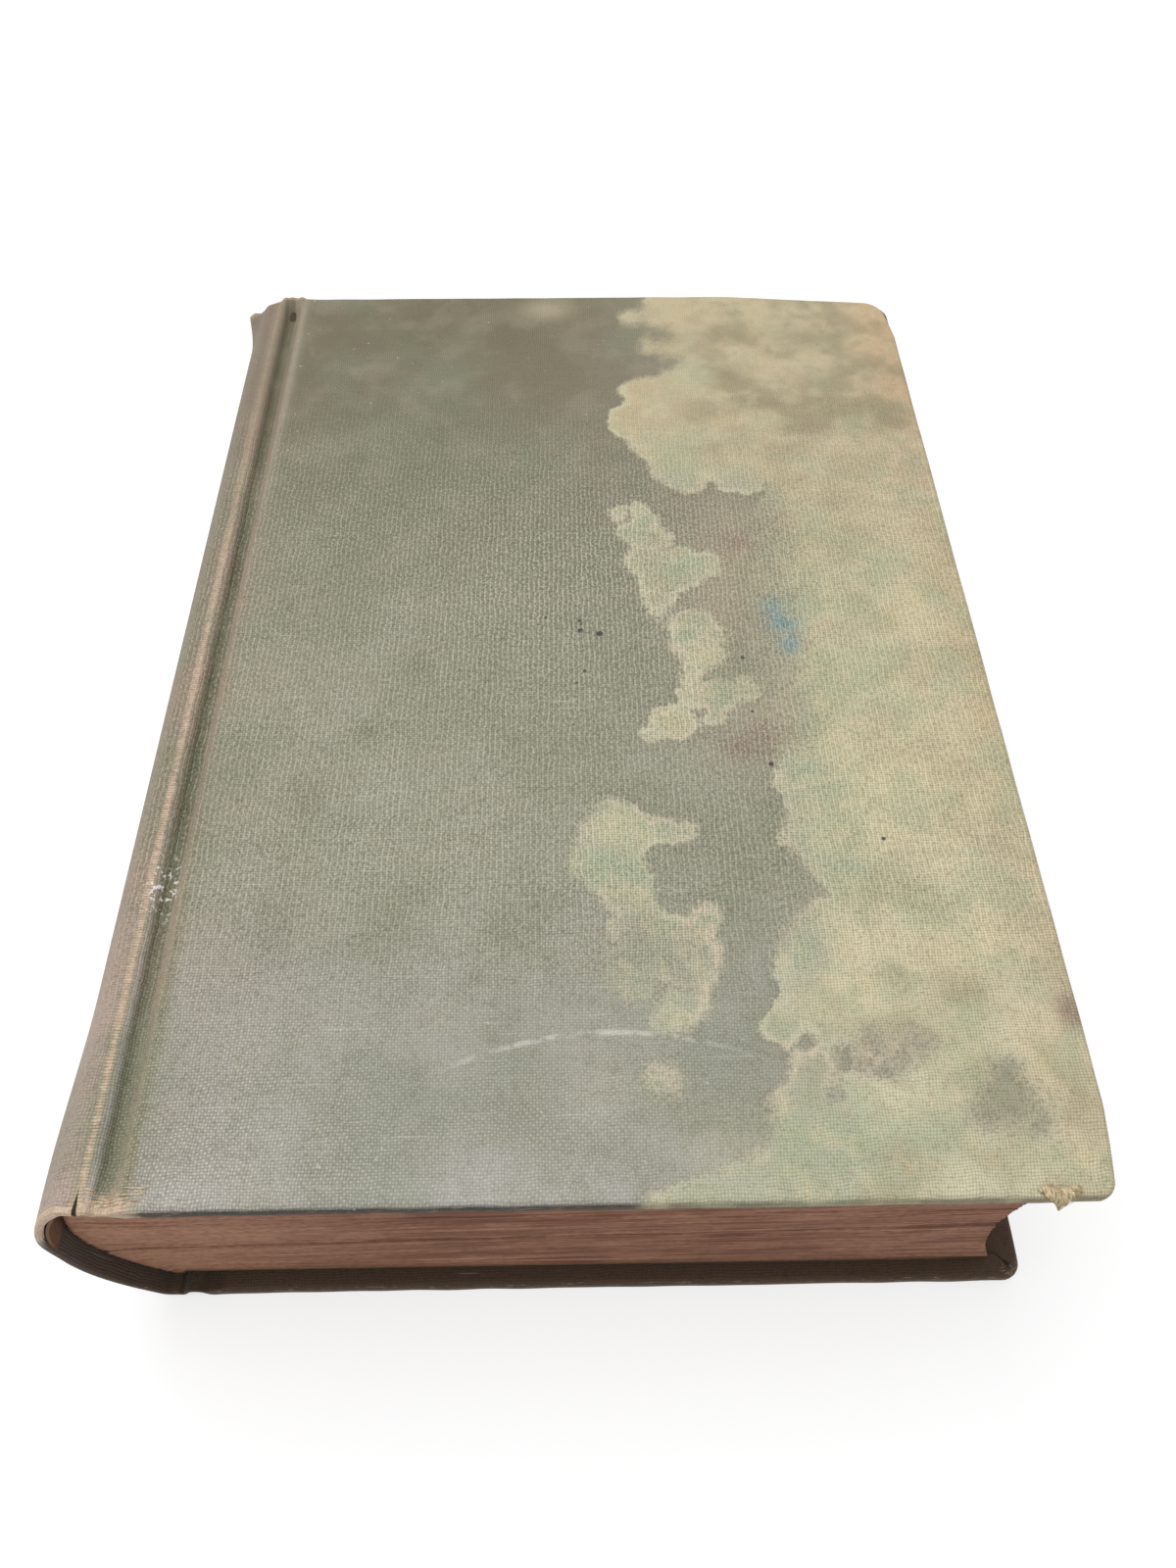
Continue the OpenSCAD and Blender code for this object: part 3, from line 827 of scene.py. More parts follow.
# Tints in the order that they are laid on, each with its spots as x, y, two half widths
# and a strength: first the cloth outside the stain.
GROUND_TINTS = [
    ((102, 98, 76), [(-50, 72, 22, 40, 0.4)]),
    ((117, 121, 99), [(-28, 48, 24, 20, 0.55)]),
    ((170, 157, 133), [(36, 14, 9, 24, 0.85), (38, -22, 7, 10, 0.6), (24, 52, 8, 8, 0.3),
                       (29, -2, 6, 20, 0.5)]),
    ((132, 110, 98), [(37, -28, 3, 3, 0.8), (31.5, -28.5, 3, 2.5, 0.8), (38, -25, 5, 3, 0.5),
                      (36, 22, 6, 3, 0.5)]),
    ((142, 144, 123), [(33, -52, 10, 8, 0.5)]),
    ((158, 154, 128), [(64, -91, 14, 9, 0.9)]),
    ((150, 142, 122), [(46, -84, 9, 5, 0.8)]),
    ((104, 104, 80), [(-33, 90, 3.4, 3, 0.5), (-33, -24, 3, 2.6, 0.6), (-25, -9, 2.6, 2.4, 0.5),
                      (-42, -38, 3, 6, 0.4), (-44, -62, 4, 7, 0.3), (-50, 5, 3, 3, 0.4),
                      (-52, 78, 8, 3, 0.3), (-20, 60, 10, 6, 0.25), (-40, 30, 8, 8, 0.2)]),
    ((172, 158, 131), [(-2, 100, 6, 4, 0.8)]),
    ((186, 172, 156), [(20, 98, 3, 2, 0.7)]),
    ((174, 168, 150), [(8, -90, 8, 5, 0.5)]),
    ((178, 171, 151), [(24, -97, 7, 7, 0.7)]),
]
# Then the cloth inside it: green, yellow, dark mottling and single spots.
BLOOM_TINTS = [
    ((165, 176, 147), [
        (17.5, 27, 3, 3, 0.8), (24, 16, 4, 3, 0.9), (27, 12, 4, 3, 0.6), (25, -2, 3.5, 3.5, 1.0),
        (29, -17, 3, 3, 1.0), (8, -51, 4.5, 4, 1.0), (11, -55, 4, 3.5, 0.9), (37.5, -67, 3, 3, 0.8),
        (46, -53, 6, 4, 0.8), (42, -33, 4, 4, 0.7), (40, -97, 8, 5, 0.6), (30, 76, 6, 6, 0.4),
        (26, 50, 5, 7, 0.5), (46, -40, 5, 9, 0.7), (54, -10, 8, 9, 0.5), (47, 8, 5, 8, 0.5),
        (60, 15, 7, 10, 0.35), (44, -20, 4, 8, 0.55), (50, -97, 9, 4, 0.5),
    ]),
    ((222, 208, 170), [
        (62, -36, 6, 5, 0.6), (65, -67, 6, 6, 0.5), (52, -24, 3, 3, 0.6), (10, -44, 5, 4, 0.6),
        (20, -23, 3, 3, 0.5), (66, 0, 6, 12, 0.35), (60, -24, 6, 5, 0.4), (27, -7, 3, 2.5, 0.5),
        (53, -3, 4, 5, 0.3), (56, -70, 5, 5, 0.3), (70, -84, 4, 4, 0.4), (42, -76, 5, 4, 0.6),
    ]),
    ((142, 132, 105), [
        (38, 75, 6, 4.5, 0.6), (43, 66, 6, 3.5, 0.8), (59, 71, 7, 4.5, 0.7), (57, 88, 9, 4, 0.7),
        (67, 60, 9, 6, 0.75), (52, 57, 4, 3, 0.6), (40, 90, 6, 4, 0.5), (30, 62, 4, 4, 0.3),
        (72, 76, 5, 6, 0.35), (64, -91, 8, 6, 0.3), (60, -76, 6, 4.5, 0.4), (45, -83, 9, 4, 0.35),
        (52, -82, 4, 3, 0.4), (74, 45, 4, 8, 0.4), (56, 33, 5, 3, 0.35), (73, -56, 3, 10, 0.25),
        (28, 88, 4, 3, 0.4), (48, 48, 5, 3, 0.35), (34, 50, 5, 4, 0.25),
    ]),
    ((132, 108, 98), [(76.5, -78, 2, 4, 0.8)]),
    ((178, 160, 118), [(77, -8, 5, 32, 0.45)]),
    ((160, 157, 132), [(38, -89, 4, 4, 0.5)]),
    ((158, 156, 137), [(13, -68, 10, 9, 1.0), (17, -78, 4, 3, 0.3), (16, -88, 4, 4, 0.6)]),
]
BLUE_MARK = [((92, 152, 172), [(41.0, 4.9, 2.2, 2.2, 0.8), (42.4, 0.6, 2.6, 2.6, 0.9),
                               (42.8, -4.8, 1.9, 2.1, 0.9)])]
BACK_TINTS = [((166, 157, 131), [(30, 60, 14, 10, 0.35), (-20, -50, 16, 12, 0.3),
                                 (55, -30, 12, 16, 0.35)])]


def bell(x, y, spot):
    """Share that falls off as a bell around a spot: x, y and its two half widths."""
    return np.exp(-((x - spot[0]) / spot[2]) ** 2 - ((y - spot[1]) / spot[3]) ** 2)


def blend_colours(share, first, second):
    """Colours from first to second by a share at every point."""
    share = np.asarray(share)[..., None]
    return first * (1 - share) + second * share


def laid_on(colours, x, y, tints):
    """The colours with each tint laid on in turn, by a bell-shaped share round each of
    its spots."""
    for tint, spots in tints:
        for spot in spots:
            colours = blend_colours(spot[4] * bell(x, y, spot), colours, dye(*tint))
    return colours


def nearest(x, y, circles):
    """Distance in millimetres inside the nearest of some circles, less than zero
    outside them all."""
    circles = np.array(circles, float)
    return (circles[:, 2] - np.hypot(x[:, None] - circles[:, 0], y[:, None] - circles[:, 1])).max(axis=1)


def stain_field(x, y):
    """Distance in millimetres inside the stain's edge, the width over which that edge
    fades and the strength of its pale rim. The stain is the union of its lobes and of
    all that lies past its edge, less its dry spots: the greatest and least of their
    distances."""
    edge = np.array(STAIN_EDGE, float)[::-1]
    inside = nearest(x, y, STAIN_LOBES)
    past = (x - np.interp(y, edge[:, 0], edge[:, 1])) * 0.8
    side = (past > inside) * ease(y, -34, -26) * ease(y, 44, 34)
    fade = 0.6 + 1.8 * np.clip(0.5 + ripple(x, y, 26, 72), 0, 1) + 8.0 * side
    for spot in SOFT_EDGES:
        fade = fade + spot[4] * bell(x, y, spot)
    rim = 0.5 + 0.7 * ripple(x, y, 12, 71)
    for spot in STRONG_RIMS:
        rim = rim + spot[4] * bell(x, y, spot)
    for spot in NO_RIMS:
        rim = rim * (1 - bell(x, y, spot))
    stain = np.minimum(np.maximum(inside, past), -nearest(x, y, DRY_SPOTS))
    return np.clip(stain, -12, 12), fade, np.clip(rim, 0, 0.9)


def front_colours(x, y, across):
    """Colours of the cloth outside and inside the stain. Outside: olive at the head, greyer
    and paler towards the tail, partly the cloth's own colour and partly painted light that
    falls off towards the head, with a painted highlight along the tail edge and the spine
    sunned to a pinkish brown. Inside: cream and pale green, tan along the fore edge."""
    # Darker at the head and paler, greyer towards the tail: partly the cloth's own colour, partly painted light
    # falling off towards the head, with a painted sheen on the grey-white near the tail of the spine.
    ground = blend_colours(ease(y, 95, -30), dye(111, 103, 80), dye(152, 150, 132))
    for share, tint in (
        (0.9 * ease(y, -45, -100), (162, 160, 151)),
        (0.5 * ease(x, -5, 25) * ease(y, 30, 75), (142, 132, 114)),
        (0.35 * ease(x, -30, -58) * ease(y, 70, -10), (150, 139, 122)),
        (0.3 * ease(x, -20, -60) * ease(y, -40, -90), (170, 162, 157)),
    ):
        ground = blend_colours(share, ground, dye(*tint))
    ground = laid_on(ground, x, y, GROUND_TINTS)
    # A painted highlight along the cover's tail edge.
    tail_edge_highlight = 0.25 * ease(y, -97, -103) * ease(x, 40, -10)
    ground = blend_colours(tail_edge_highlight, ground, dye(190, 187, 181))

    bloom = blend_colours(ease(y, 60, -20), dye(190, 175, 142), dye(213, 203, 168))
    for share, tint in (
        (0.7 * ease(y, -40, -100), (203, 199, 172)),
        (0.9 * ease(x, 46, 38) * ease(y, 48, 38), (176, 176, 153)),
        (0.5 * ease(x, 56, 42) * ease(y, -34, -24) * ease(y, 44, 34), (180, 169, 141)),
        (0.7 * ease(x, 62, 78), (210, 191, 159)),
        (0.8 * ease(x, 62, 78) * ease(y, 20, 90), (190, 158, 120)),
    ):
        bloom = blend_colours(share, bloom, dye(*tint))
    bloom = laid_on(bloom, x, y, BLOOM_TINTS)
    return [spine_colours(laid_on(colour, x, y, BLUE_MARK), across, y) for colour in (ground, bloom)]


def spine_colours(colour, across, y):
    """Colour by the distance across from the shoulder's ridge: sunned spine, dark groove,
    rubbed wall, a pale band beside the ridge near the tail that is rubbed cloth with a
    painted highlight, and a darker line where the board begins."""
    tail, head = ease(y, -30, -95), ease(y, 20, 80)
    sunned = blend_colours(ease(y, -40, 80), dye(151, 133, 115), dye(128, 113, 98))
    sunned = blend_colours(ease(y, -35, -90), sunned, dye(178, 156, 146))
    groove = blend_colours(tail, dye(106, 99, 78), dye(126, 123, 103))
    wall = blend_colours(tail, dye(170, 148, 131), dye(160, 150, 127))
    wall = blend_colours(head, wall, dye(142, 128, 110))
    line = blend_colours(tail, dye(146, 137, 118), dye(134, 128, 103))
    # Pale band beside the ridge near the tail: rubbed cloth with a painted highlight.
    pale = blend_colours(tail, wall, dye(190, 184, 180))
    bands = [(-8, sunned), (-1.8, sunned), (-0.8, wall), (0.4, wall), (0.9, pale), (1.5, groove),
             (2.5, groove), (3.1, groove), (3.7, wall), (4.9, wall), (5.7, line), (6.4, line), (7.2, colour)]
    starts = [start for start, _ in bands]
    colours = np.stack([band for _, band in bands])
    place = np.interp(across, starts, np.arange(len(bands)))
    low = np.minimum(place.astype(int), len(bands) - 2)
    point = np.arange(len(across))
    return blend_colours(place - low, colours[low, point], colours[low + 1, point])


def back_colours(x, y, across):
    """Colours of the back cover: plain olive brown, darker round its fore edge and its ends,
    partly brown staining and partly painted shade.
    """
    ground = blend_colours(ease(ripple(x, y, 90, 31), -0.4, 0.4), dye(134, 127, 105), dye(146, 143, 122))
    # Darker round the fore edge and the ends: brown staining with painted shade from the block and front cover.
    toned = np.maximum(ease(x, 58, 78), ease(np.abs(y), 90, 105))
    ground = blend_colours(0.85 * toned, ground, dye(98, 80, 60))
    ground = spine_colours(laid_on(ground, x, y, BACK_TINTS), across, y)
    return ground, ground.copy()


def mottle_field(x, y):
    """Share of dark mottling inside the stain: most towards the head."""
    upper = 0.75 * ease(y, 40, 60) * ease(x, 24, 38)
    lower = 0.4 * ease(y, -58, -68) * ease(x, 34, 44)
    return np.maximum.reduce([upper, lower, 0.3 * ease(x, 40, 50), np.full(len(x), 0.12)])


def weave_fields(x, y):
    """How clear the single threads are, less so where the tail is rubbed flat, and how
    far every second warp shows as a rib, most in the middle of the cover."""
    crisp = 1 - ease(y, -62, -82) * np.interp(x, (-50, -20, 20, 60), (0.05, 0.42, 0.35, 0.15))
    ribbed = 0.6 * ease(y, -90, -50) * ease(y, 80, 30) + 0.4 * bell(x, y, (2, 12, 26, 26))
    return crisp, ribbed


def wear_fields(points, front):
    """Shares of wear, rubbing with painted sheen, and paint: bare threads along the ridges,
    corners and ends of the spine, pale thread tops near the tail, rubbed and with a painted
    sheen. Here x is the distance from the shoulder's ridge."""
    x = (points[:, 0] - SHOULDER_X) / MM
    y = points[:, 1] / MM
    up = (points[:, 2] - MIDDLE) / MM
    from_end, from_fore = HALF_H / MM - np.abs(y), (FORE_X - SHOULDER_X) / MM - x
    to_head = ease(y, 10, 80)
    ridge = np.exp(-((x + 0.3) / (0.8 - 0.25 * to_head)) ** 2)
    ridge = ridge * (0.66 - 0.14 * to_head + 0.08 * ripple(x, y, 30, 41))
    board_ridge = np.exp(-((x - 4.3) / 0.7) ** 2) * (0.36 - 0.1 * to_head + 0.12 * ripple(x, y, 24, 42))
    end_fray = ease(from_end, 4.6, 0.6) * ease(x, 10, 4) * ease(x, -2.5, -0.8) * ease(y, 0, -90) * 0.72
    end_fray = np.maximum(end_fray, ease(from_end, 2.0, 0.3) * ease(x, 11, 5) * 0.8)
    low_corner = np.exp(-((x + 9.3) / 1.8) ** 2) * ease(from_end, 4.5, 1.5) * 0.6
    corner = ease(np.hypot(from_fore, from_end), 6, 1.0) * 0.45
    torn = np.exp(-((9.3 - from_fore) / 4) ** 2) * ease(from_end, 2.6, 0.6) * (y < 0) * 0.5
    edges = 0.28 * ease(np.minimum(from_end, from_fore), 1.0, 0.2) * (y < 90)
    if not front:
        ridge, board_ridge, end_fray, torn = 0.3 * ridge, 0.3 * board_ridge, 0.2 * end_fray, 0.0 * torn
    wear = np.maximum.reduce([ridge, board_ridge, end_fray, low_corner, corner, torn, edges])
    wear = wear * np.where(x < -6, ease(up, 6, 14) if front else 0.0, 1.0)
    # Rubbing with a painted sheen on the thread tops, strongest near the tail.
    rub_and_sheen = (0.55 * ease(y, -50, -102) + 0.3 * ease(y, 60, -50)) * ease(x, 125, 60) + 0.12
    rub_and_sheen = np.clip(rub_and_sheen + 0.3 * ripple(x, y, 25, 43) * (x > 6), 0.05, 1) * (1 - 0.7 * ease(x, 9, 4))
    rub_and_sheen = rub_and_sheen * (1 if front else 1 - 0.6 * ease(x, -6, 2))
    paint = np.exp(-((x - 1.4) / 2.6) ** 2 - ((y + 54) / 5) ** 2)
    return wear, rub_and_sheen, paint * front


def painted_under_shade(flat, across, turned, front):
    """Shares of painted shade on the side of the board and on the under parts of the spine's
    ends, which take in all that is turned in near the spine."""
    z = flat[:, 2]
    from_end = HALF_H - np.abs(flat[:, 1])
    if front:
        under = ease(z, TOP - 0.1 * MM, TOP - 0.6 * MM) * ease(across, 5, 8)
        painted_end_shade = ease(from_end, 4 * MM, 0.5 * MM) * ease(across, 8, 5)
        painted_end_shade = painted_end_shade * ease(across, -7, -9) * ease(z, MIDDLE + 14 * MM, MIDDLE + 6 * MM)
    else:
        under = ease(z, TOP - 0.1 * MM, TOP - 0.6 * MM) * ease(across, 2, 5)
        painted_end_shade = ease(from_end, 6 * MM, 3.4 * MM) * ease(across, 8, 5)
    return under, np.maximum(painted_end_shade, turned * (across < 8))


def cloth_fields(flat, turned, front):
    """The fields of one half of the case's cloth, worked out before it is rumpled."""
    x, y = (flat[:, 0] - MARKS_X) / MM, flat[:, 1] / MM
    across = (flat[:, 0] - SHOULDER_X) / MM
    if front:
        stain, fade, rim = stain_field(x, y)
        ground, bloom = front_colours(x, y, across)
    else:
        stain, fade, rim = np.full(len(x), -12.0), np.ones(len(x)), np.zeros(len(x))
        ground, bloom = back_colours(x, y, across)
    # Painted shade: dark under the cover's folded edges, on the back's turn-in under the block, and on the under
    # parts of the spine's ends and its turn-ins.
    under, painted_end_shade = painted_under_shade(flat, across, turned, front)
    ground = blend_colours(0.95 * under, ground, dye(50, 44, 31) if front else dye(84, 67, 53))
    bloom = blend_colours(0.75 * under, bloom, dye(112, 100, 76))
    ground = blend_colours(0.92 * painted_end_shade, ground, dye(70, 56, 44))
    wear, rub_and_sheen, paint = wear_fields(flat, front)
    crisp, ribbed = weave_fields(x, y)
    return {
        "stain": stain, "fade": fade, "rim": rim, "ground": ground, "bloom": bloom,
        "mottle": mottle_field(x, y), "wear": wear, "rub_and_sheen": rub_and_sheen, "paint": paint,
        "crisp": crisp, "ribbed": ribbed, "face": 1 - np.maximum(under, painted_end_shade),
    }


def case_cloth(side, material):
    """The front or back half of the case's cloth as a closed skin, with its fields. The
    place before rumpling is a field too, which the finish reads in every pose."""
    front = side == "front"
    if front:
        points, quads, uv, turned = case_sheet(tail_r=2 * MM, head_r=4.4 * MM)
        flat = worn_outline(points)
        points = rumpled(sprung_spine(flat), 50)
    else:
        flat, quads, uv, turned = case_sheet(tail_r=2.6 * MM, head_r=4.5 * MM)
        points, quads = mirrored(rumpled(flat, 60), quads)
    fields = cloth_fields(flat, turned, front)
    fields["place"] = flat if front else mirrored(flat, quads)[0]
    fields = {name: np.concatenate([values, values]) for name, values in fields.items()}
    skin, faces = shell(points, quads, CLOTH)
    cloth = piece(f"{side}_case_cloth", skin, faces, material, np.concatenate([uv, uv]), fields)
    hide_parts(f"{side}_cloth", "spine_cloth")
    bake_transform(cloth)


# The leaves

def leaf_loop(rows, end_columns, fore_columns):
    """The loop of leaf ends round the tail, the fore edge and the head, with one row for
    every leaf u, from -1 at the back to 1 at the front. A leaf starts on the round of
    the back, bends to its place in the pile and ends on the hollow fore edge. Gives the
    points, each one's leaf as it fans across the pile, its outward direction and the
    length along the loop."""
    u = np.linspace(-1, 1, rows)[:, None]
    t = np.linspace(0, 1, end_columns)[None, :] ** 1.15
    half_t = BLOCK_TOP - MIDDLE
    start = BACK_X - np.sqrt(BACK_R ** 2 - (u * TIP_UP) ** 2)
    end = block_high.x - FORE_HOLLOW * (1 - u * u)
    x = start + (end - start) * t
    s = np.clip((x - start) / (SLOPE_W + (1 - np.abs(u)) * BULGE), 0, 1)
    z = u * (half_t + (TIP_UP - half_t) * (1 + np.cos(np.pi * s)) / 2) + MIDDLE
    y = np.full_like(x, BLOCK_END_Y)
    tail = np.stack([x, -y, z], -1)
    head = np.stack([x, y, z], -1)[:, ::-1]
    fy = np.linspace(-1, 1, fore_columns + 2)[None, 1:-1] * BLOCK_END_Y
    fore = np.stack([end + 0 * fy, 0 * u + fy, u * half_t + MIDDLE + 0 * fy], -1)
    loop = np.concatenate([tail, fore, head], axis=1)
    bow = 0.17 * (1 - u * u)
    fan = u + bow * (1 - 2 * t)
    fan = np.concatenate([fan, (u - bow) + 0 * fy, fan[:, ::-1]], axis=1)
    out = np.zeros_like(loop)
    out[:, :end_columns, 1] = -1
    out[:, end_columns:-end_columns, 0] = 1
    out[:, -end_columns:, 1] = 1
    return loop, fan, out, lengths(loop[rows // 2])[None] + 0 * u


def leaf_relief(fan, along):
    """Relief in millimetres out of the trimmed edge, with the shares of gap and of proud
    leaf: a gap between gatherings, strong beside one of them, chance steps between
    leaves, slow waves, and a leaf that stands proud beside a strong gap."""
    draw = np.random.default_rng(7)
    parted = GATHERINGS // 2 - 2
    k = (fan + 1) / 2 * GATHERINGS
    line = np.round(k)
    off = (k - line) * 44 / GATHERINGS
    strength = draw.uniform(0.0, 1.0, GATHERINGS + 2) ** 2.2
    strength[parted] = 1.6
    index = np.clip(line.astype(int), 0, GATHERINGS)
    near = strength[index] * np.clip(0.65 + 0.9 * ripple(along, line * 0.013, 70 * MM, 5), 0, 1.4)
    gap = near * np.exp(-(off / np.where(index == parted, 0.55, 0.22)) ** 2)
    steps = np.repeat(draw.normal(0, 1, (len(fan) // 2 + 1, 1)), 2, axis=0)[:len(fan)]
    steps = 0.05 * steps * (1 + ripple(along, fan * 0.02, 40 * MM, 6))
    waves = 0.12 * ripple(along, fan * 0.02, 90 * MM, 8)
    proud = np.exp(-((off - 0.5) / 0.18) ** 2) * near * (strength[index] > 0.5)
    return -0.75 * gap + steps + waves + 0.22 * proud, gap, proud


def leaf_pile(material):
    """The text block as one closed skin: the loop of leaf ends with its relief, which
    fades at the outermost leaves, and two lids, each of quads from the tail to the head
    and one wide face along the fore edge."""
    rows, end_columns, fore_columns = 241, 100, 60
    loop, fan, out, along = leaf_loop(rows, end_columns, fore_columns)
    relief, gap, proud = leaf_relief(fan, along)
    hold = ease(1 - np.abs(np.linspace(-1, 1, rows)[:, None]), 0.0, 0.02) * np.ones_like(fan)
    points = loop + out * (relief * hold * MM)[..., None]

    columns = loop.shape[1]
    faces = grid_quads(rows, columns, close=True)[:, ::-1]
    lids = []
    for row, turn in ((0, 1), (rows - 1, -1)):
        first = row * columns
        a = first + np.arange(end_columns - 2)
        b = first + columns - 1 - np.arange(end_columns - 2)
        quads = np.stack([a, b, b - 1, a + 1], 1)[:, ::-turn]
        rest = list(range(first + end_columns - 2, first + columns - end_columns + 2))
        lids += quads.tolist() + [rest[::turn][::-1]]
    uv = np.stack([along.ravel(), (fan * 22 * MM).ravel()], 1)
    gap, proud = (np.clip(share * hold, 0, 1).ravel() for share in (gap, proud))
    # The shares of gap and proud leaf also set the painted shade and painted highlight of the leaf edges.
    fields = {"gap": 0.9 * gap, "proud": 0.6 * proud}
    made = piece("sewn_leaves", points.reshape(-1, 3), faces.tolist() + lids, material, uv, fields)
    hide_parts("text_block")
    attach(made, "text_block")


def hinge_paper(side, material):
    """The fold of endpaper between the flyleaf and the pastedown, a thin strip along
    the joint: flat on the shoulder, then up a little to the board."""
    x = np.concatenate([np.linspace(0.6, 2.0, 6), np.linspace(2.2, 4.4, 16)]) * MM + SHOULDER_X
    low, high = FLYLEAF_TOP + 0.03 * MM, paste_low.z - 0.02 * MM
    rise = (high - low) * ease(x, SHOULDER_X + 2.4 * MM, SHOULDER_X + 4.2 * MM)
    y = np.linspace(-1, 1, 60) * (block_high.y - 0.5 * MM)
    z = low + rise + 0.12 * MM
    points = np.stack(np.broadcast_arrays(x[:, None], y[None], z[:, None]), -1).reshape(-1, 3)
    quads = grid_quads(len(x), len(y))
    if side == "back":
        points, quads = mirrored(points, quads)
    strip = piece(f"{side}_hinge_paper", *shell(points, quads, 0.1 * MM), material)
    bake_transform(strip)


# Frayed threads

def threads(paths, radii, sides=5):
    """Round threads along many paths at once: a ring of points across each path point,
    turned by the path's direction, and a lid at both ends."""
    count, steps, _ = paths.shape
    way = np.gradient(paths, axis=1)
    way /= np.linalg.norm(way, axis=2, keepdims=True)
    up = np.cross(way, [0.31, 0.22, 0.92])
    up /= np.linalg.norm(up, axis=2, keepdims=True)
    aside = np.cross(way, up)
    turn = np.linspace(0, 2 * math.pi, sides, endpoint=False)
    ring = up[:, :, None] * np.cos(turn)[:, None] + aside[:, :, None] * np.sin(turn)[:, None]
    points = paths[:, :, None] + ring * radii[:, :, None, None]
    one = grid_quads(steps, sides, close=True)[:, ::-1]
    lids = np.array([np.arange(sides), (steps - 1) * sides + np.arange(sides)[::-1]])
    base = (np.arange(count) * steps * sides)[:, None, None]
    faces = (one[None] + base).reshape(-1, 4).tolist() + (lids[None] + base).reshape(-1, sides).tolist()
    return points.reshape(-1, 3), faces


def cloth_height(x, y):
    """Height of the finished cloth's outer face over the groove and the board."""
    path, _ = case_path()
    flat = path[path[:, 0] > SHOULDER_X - 3 * MM]
    z = np.interp(x, flat[:, 0], flat[:, 1]) + MIDDLE
    moved = sprung_spine(np.stack([x.ravel(), y.ravel(), z.ravel()], 1))
    over = np.clip(np.abs(moved[:, 1]) - (HALF_H - EDGE_R), 0, EDGE_R)
    return (moved[:, 2] - (EDGE_R - np.sqrt(EDGE_R ** 2 - over ** 2))).reshape(x.shape)


def tail_fringe(material):
    """Bare weft threads laid along the tail of the joint, where the dyed cloth has worn
    through, with their short broken ends."""
    draw = np.random.default_rng(11)
    count = 34
    middle = draw.uniform(-0.2, 8.2, count)[:, None] * MM + SHOULDER_X
    half = draw.uniform(0.3, 1.1, count)[:, None] * MM
    t = np.linspace(-1, 1, 8)[None]
    x = middle + half * t
    row = draw.integers(0, 8, count)[:, None] * 0.43 * MM
    y = -HALF_H + 0.15 * MM + row + draw.normal(0, 0.04, (count, 1)) * MM
    y = y + 0.07 * MM * np.sin(3 * t + middle / MM)
    z = cloth_height(x, y) + draw.uniform(-0.04, 0.08, (count, 1)) * MM * (1 - 0.6 * t ** 2)
    radii = 0.10 * MM * (1 - 0.6 * np.abs(t) ** 3) * draw.uniform(0.7, 1.2, (count, 1))
    made = piece("tail_fringe", *threads(np.stack([x, y, z], -1), radii), material)
    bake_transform(made)


def tuft_place(s, t):
    """Point of the torn tongue at a share s across it and t along it: a triangle that
    starts on the cover, rises a little, passes over the tail edge and hangs."""
    x = SHOULDER_X + MM * (133.2 - 0.1 * t + 2.9 * s * (1 - t) ** 0.9)
    y = -HALF_H - MM * (3.0 * t - 0.7 * t ** 2 - 1.1 + 0.25 * np.cos(5 * s) * (1 - t))
    z = TOP + MM * (0.06 + 1.7 * t * (1 - t) - 2.2 * t ** 3 + 0.16 * np.sin(8 * s + 3 * t) * (1 - t))
    return np.stack(np.broadcast_arrays(x, y, z), -1)


def corner_tuft(material):
    """A torn tongue of cloth at the front cover's tail edge near its corner, with its
    two sides rolled into cords and loose threads that leave it on curved paths."""
    draw = np.random.default_rng(12)
    tongue = tuft_place(np.linspace(-1, 1, 11)[None], np.linspace(0, 0.97, 15)[:, None])
    points, quads = shell(tongue.reshape(-1, 3), grid_quads(15, 11)[:, ::-1], 0.25 * MM)
    t = np.linspace(0, 1, 14)[None]
    cords = tuft_place(np.array([[-1.0], [1.0], [0.2]]), t) + [0, 0, 0.12 * MM]
    cords[:2, :, 0] += 0.12 * MM * np.sin(9 * t)
    cord_r = 0.23 * MM * (1 - 0.45 * t) * np.array([[1.0], [0.85], [0.6]])

    count = 26
    s, start = draw.uniform(-0.9, 0.9, (count, 1)), draw.uniform(0.0, 0.7, (count, 1)) ** 1.5
    root = tuft_place(s, start)
    way = np.concatenate([draw.normal(0, 0.8, (count, 1)), draw.uniform(-1.0, 0.9, (count, 1)),
                          draw.uniform(0.15, 0.7, (count, 1))], 1)[:, None]
    droop = -1.1 * t ** 2 * (way[..., 1] < 0)
    curl = np.stack([0.5 * np.sin(5 * t + 6 * s), 0 * s * t, droop], -1)
    length = draw.uniform(0.6, 1.9, (count, 1, 1)) * MM
    paths = root + length * (way + curl) * t[..., None]
    radii = 0.075 * MM * (1 - 0.7 * t ** 2) * draw.uniform(0.6, 1.2, (count, 1))
    strands, faces = threads(np.concatenate([cords, paths]), np.concatenate([cord_r, radii]))
    faces = [[corner + len(points) for corner in face] for face in faces]
    made = piece("corner_tuft", np.concatenate([points, strands]), quads.tolist() + faces, material)
    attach(made, "front_cover")


# Making

cloth_finish = book_cloth()
case_cloth("front", cloth_finish)
case_cloth("back", cloth_finish)
leaf_pile(leaf_edges())
endpaper = aged_paper()
hinge_paper("front", endpaper)
hinge_paper("back", endpaper)
tail_fringe(loose_thread())
corner_tuft(torn_cloth())

finishes = {
    "endpaper": endpaper,
    "gauze": gauze(),
    "board": pulp("board", dye(104, 84, 66), dye(78, 62, 48)),
    "lining_paper": pulp("lining_paper", dye(124, 92, 72), dye(98, 70, 54)),
}
for subpart in frame["record"]["subparts"]:
    finish = finishes.get(subpart["material_slot"])
    if finish:
        solid = frame["nodes"][subpart["node"]]
        solid.data.materials.clear()
        solid.data.materials.append(finish)

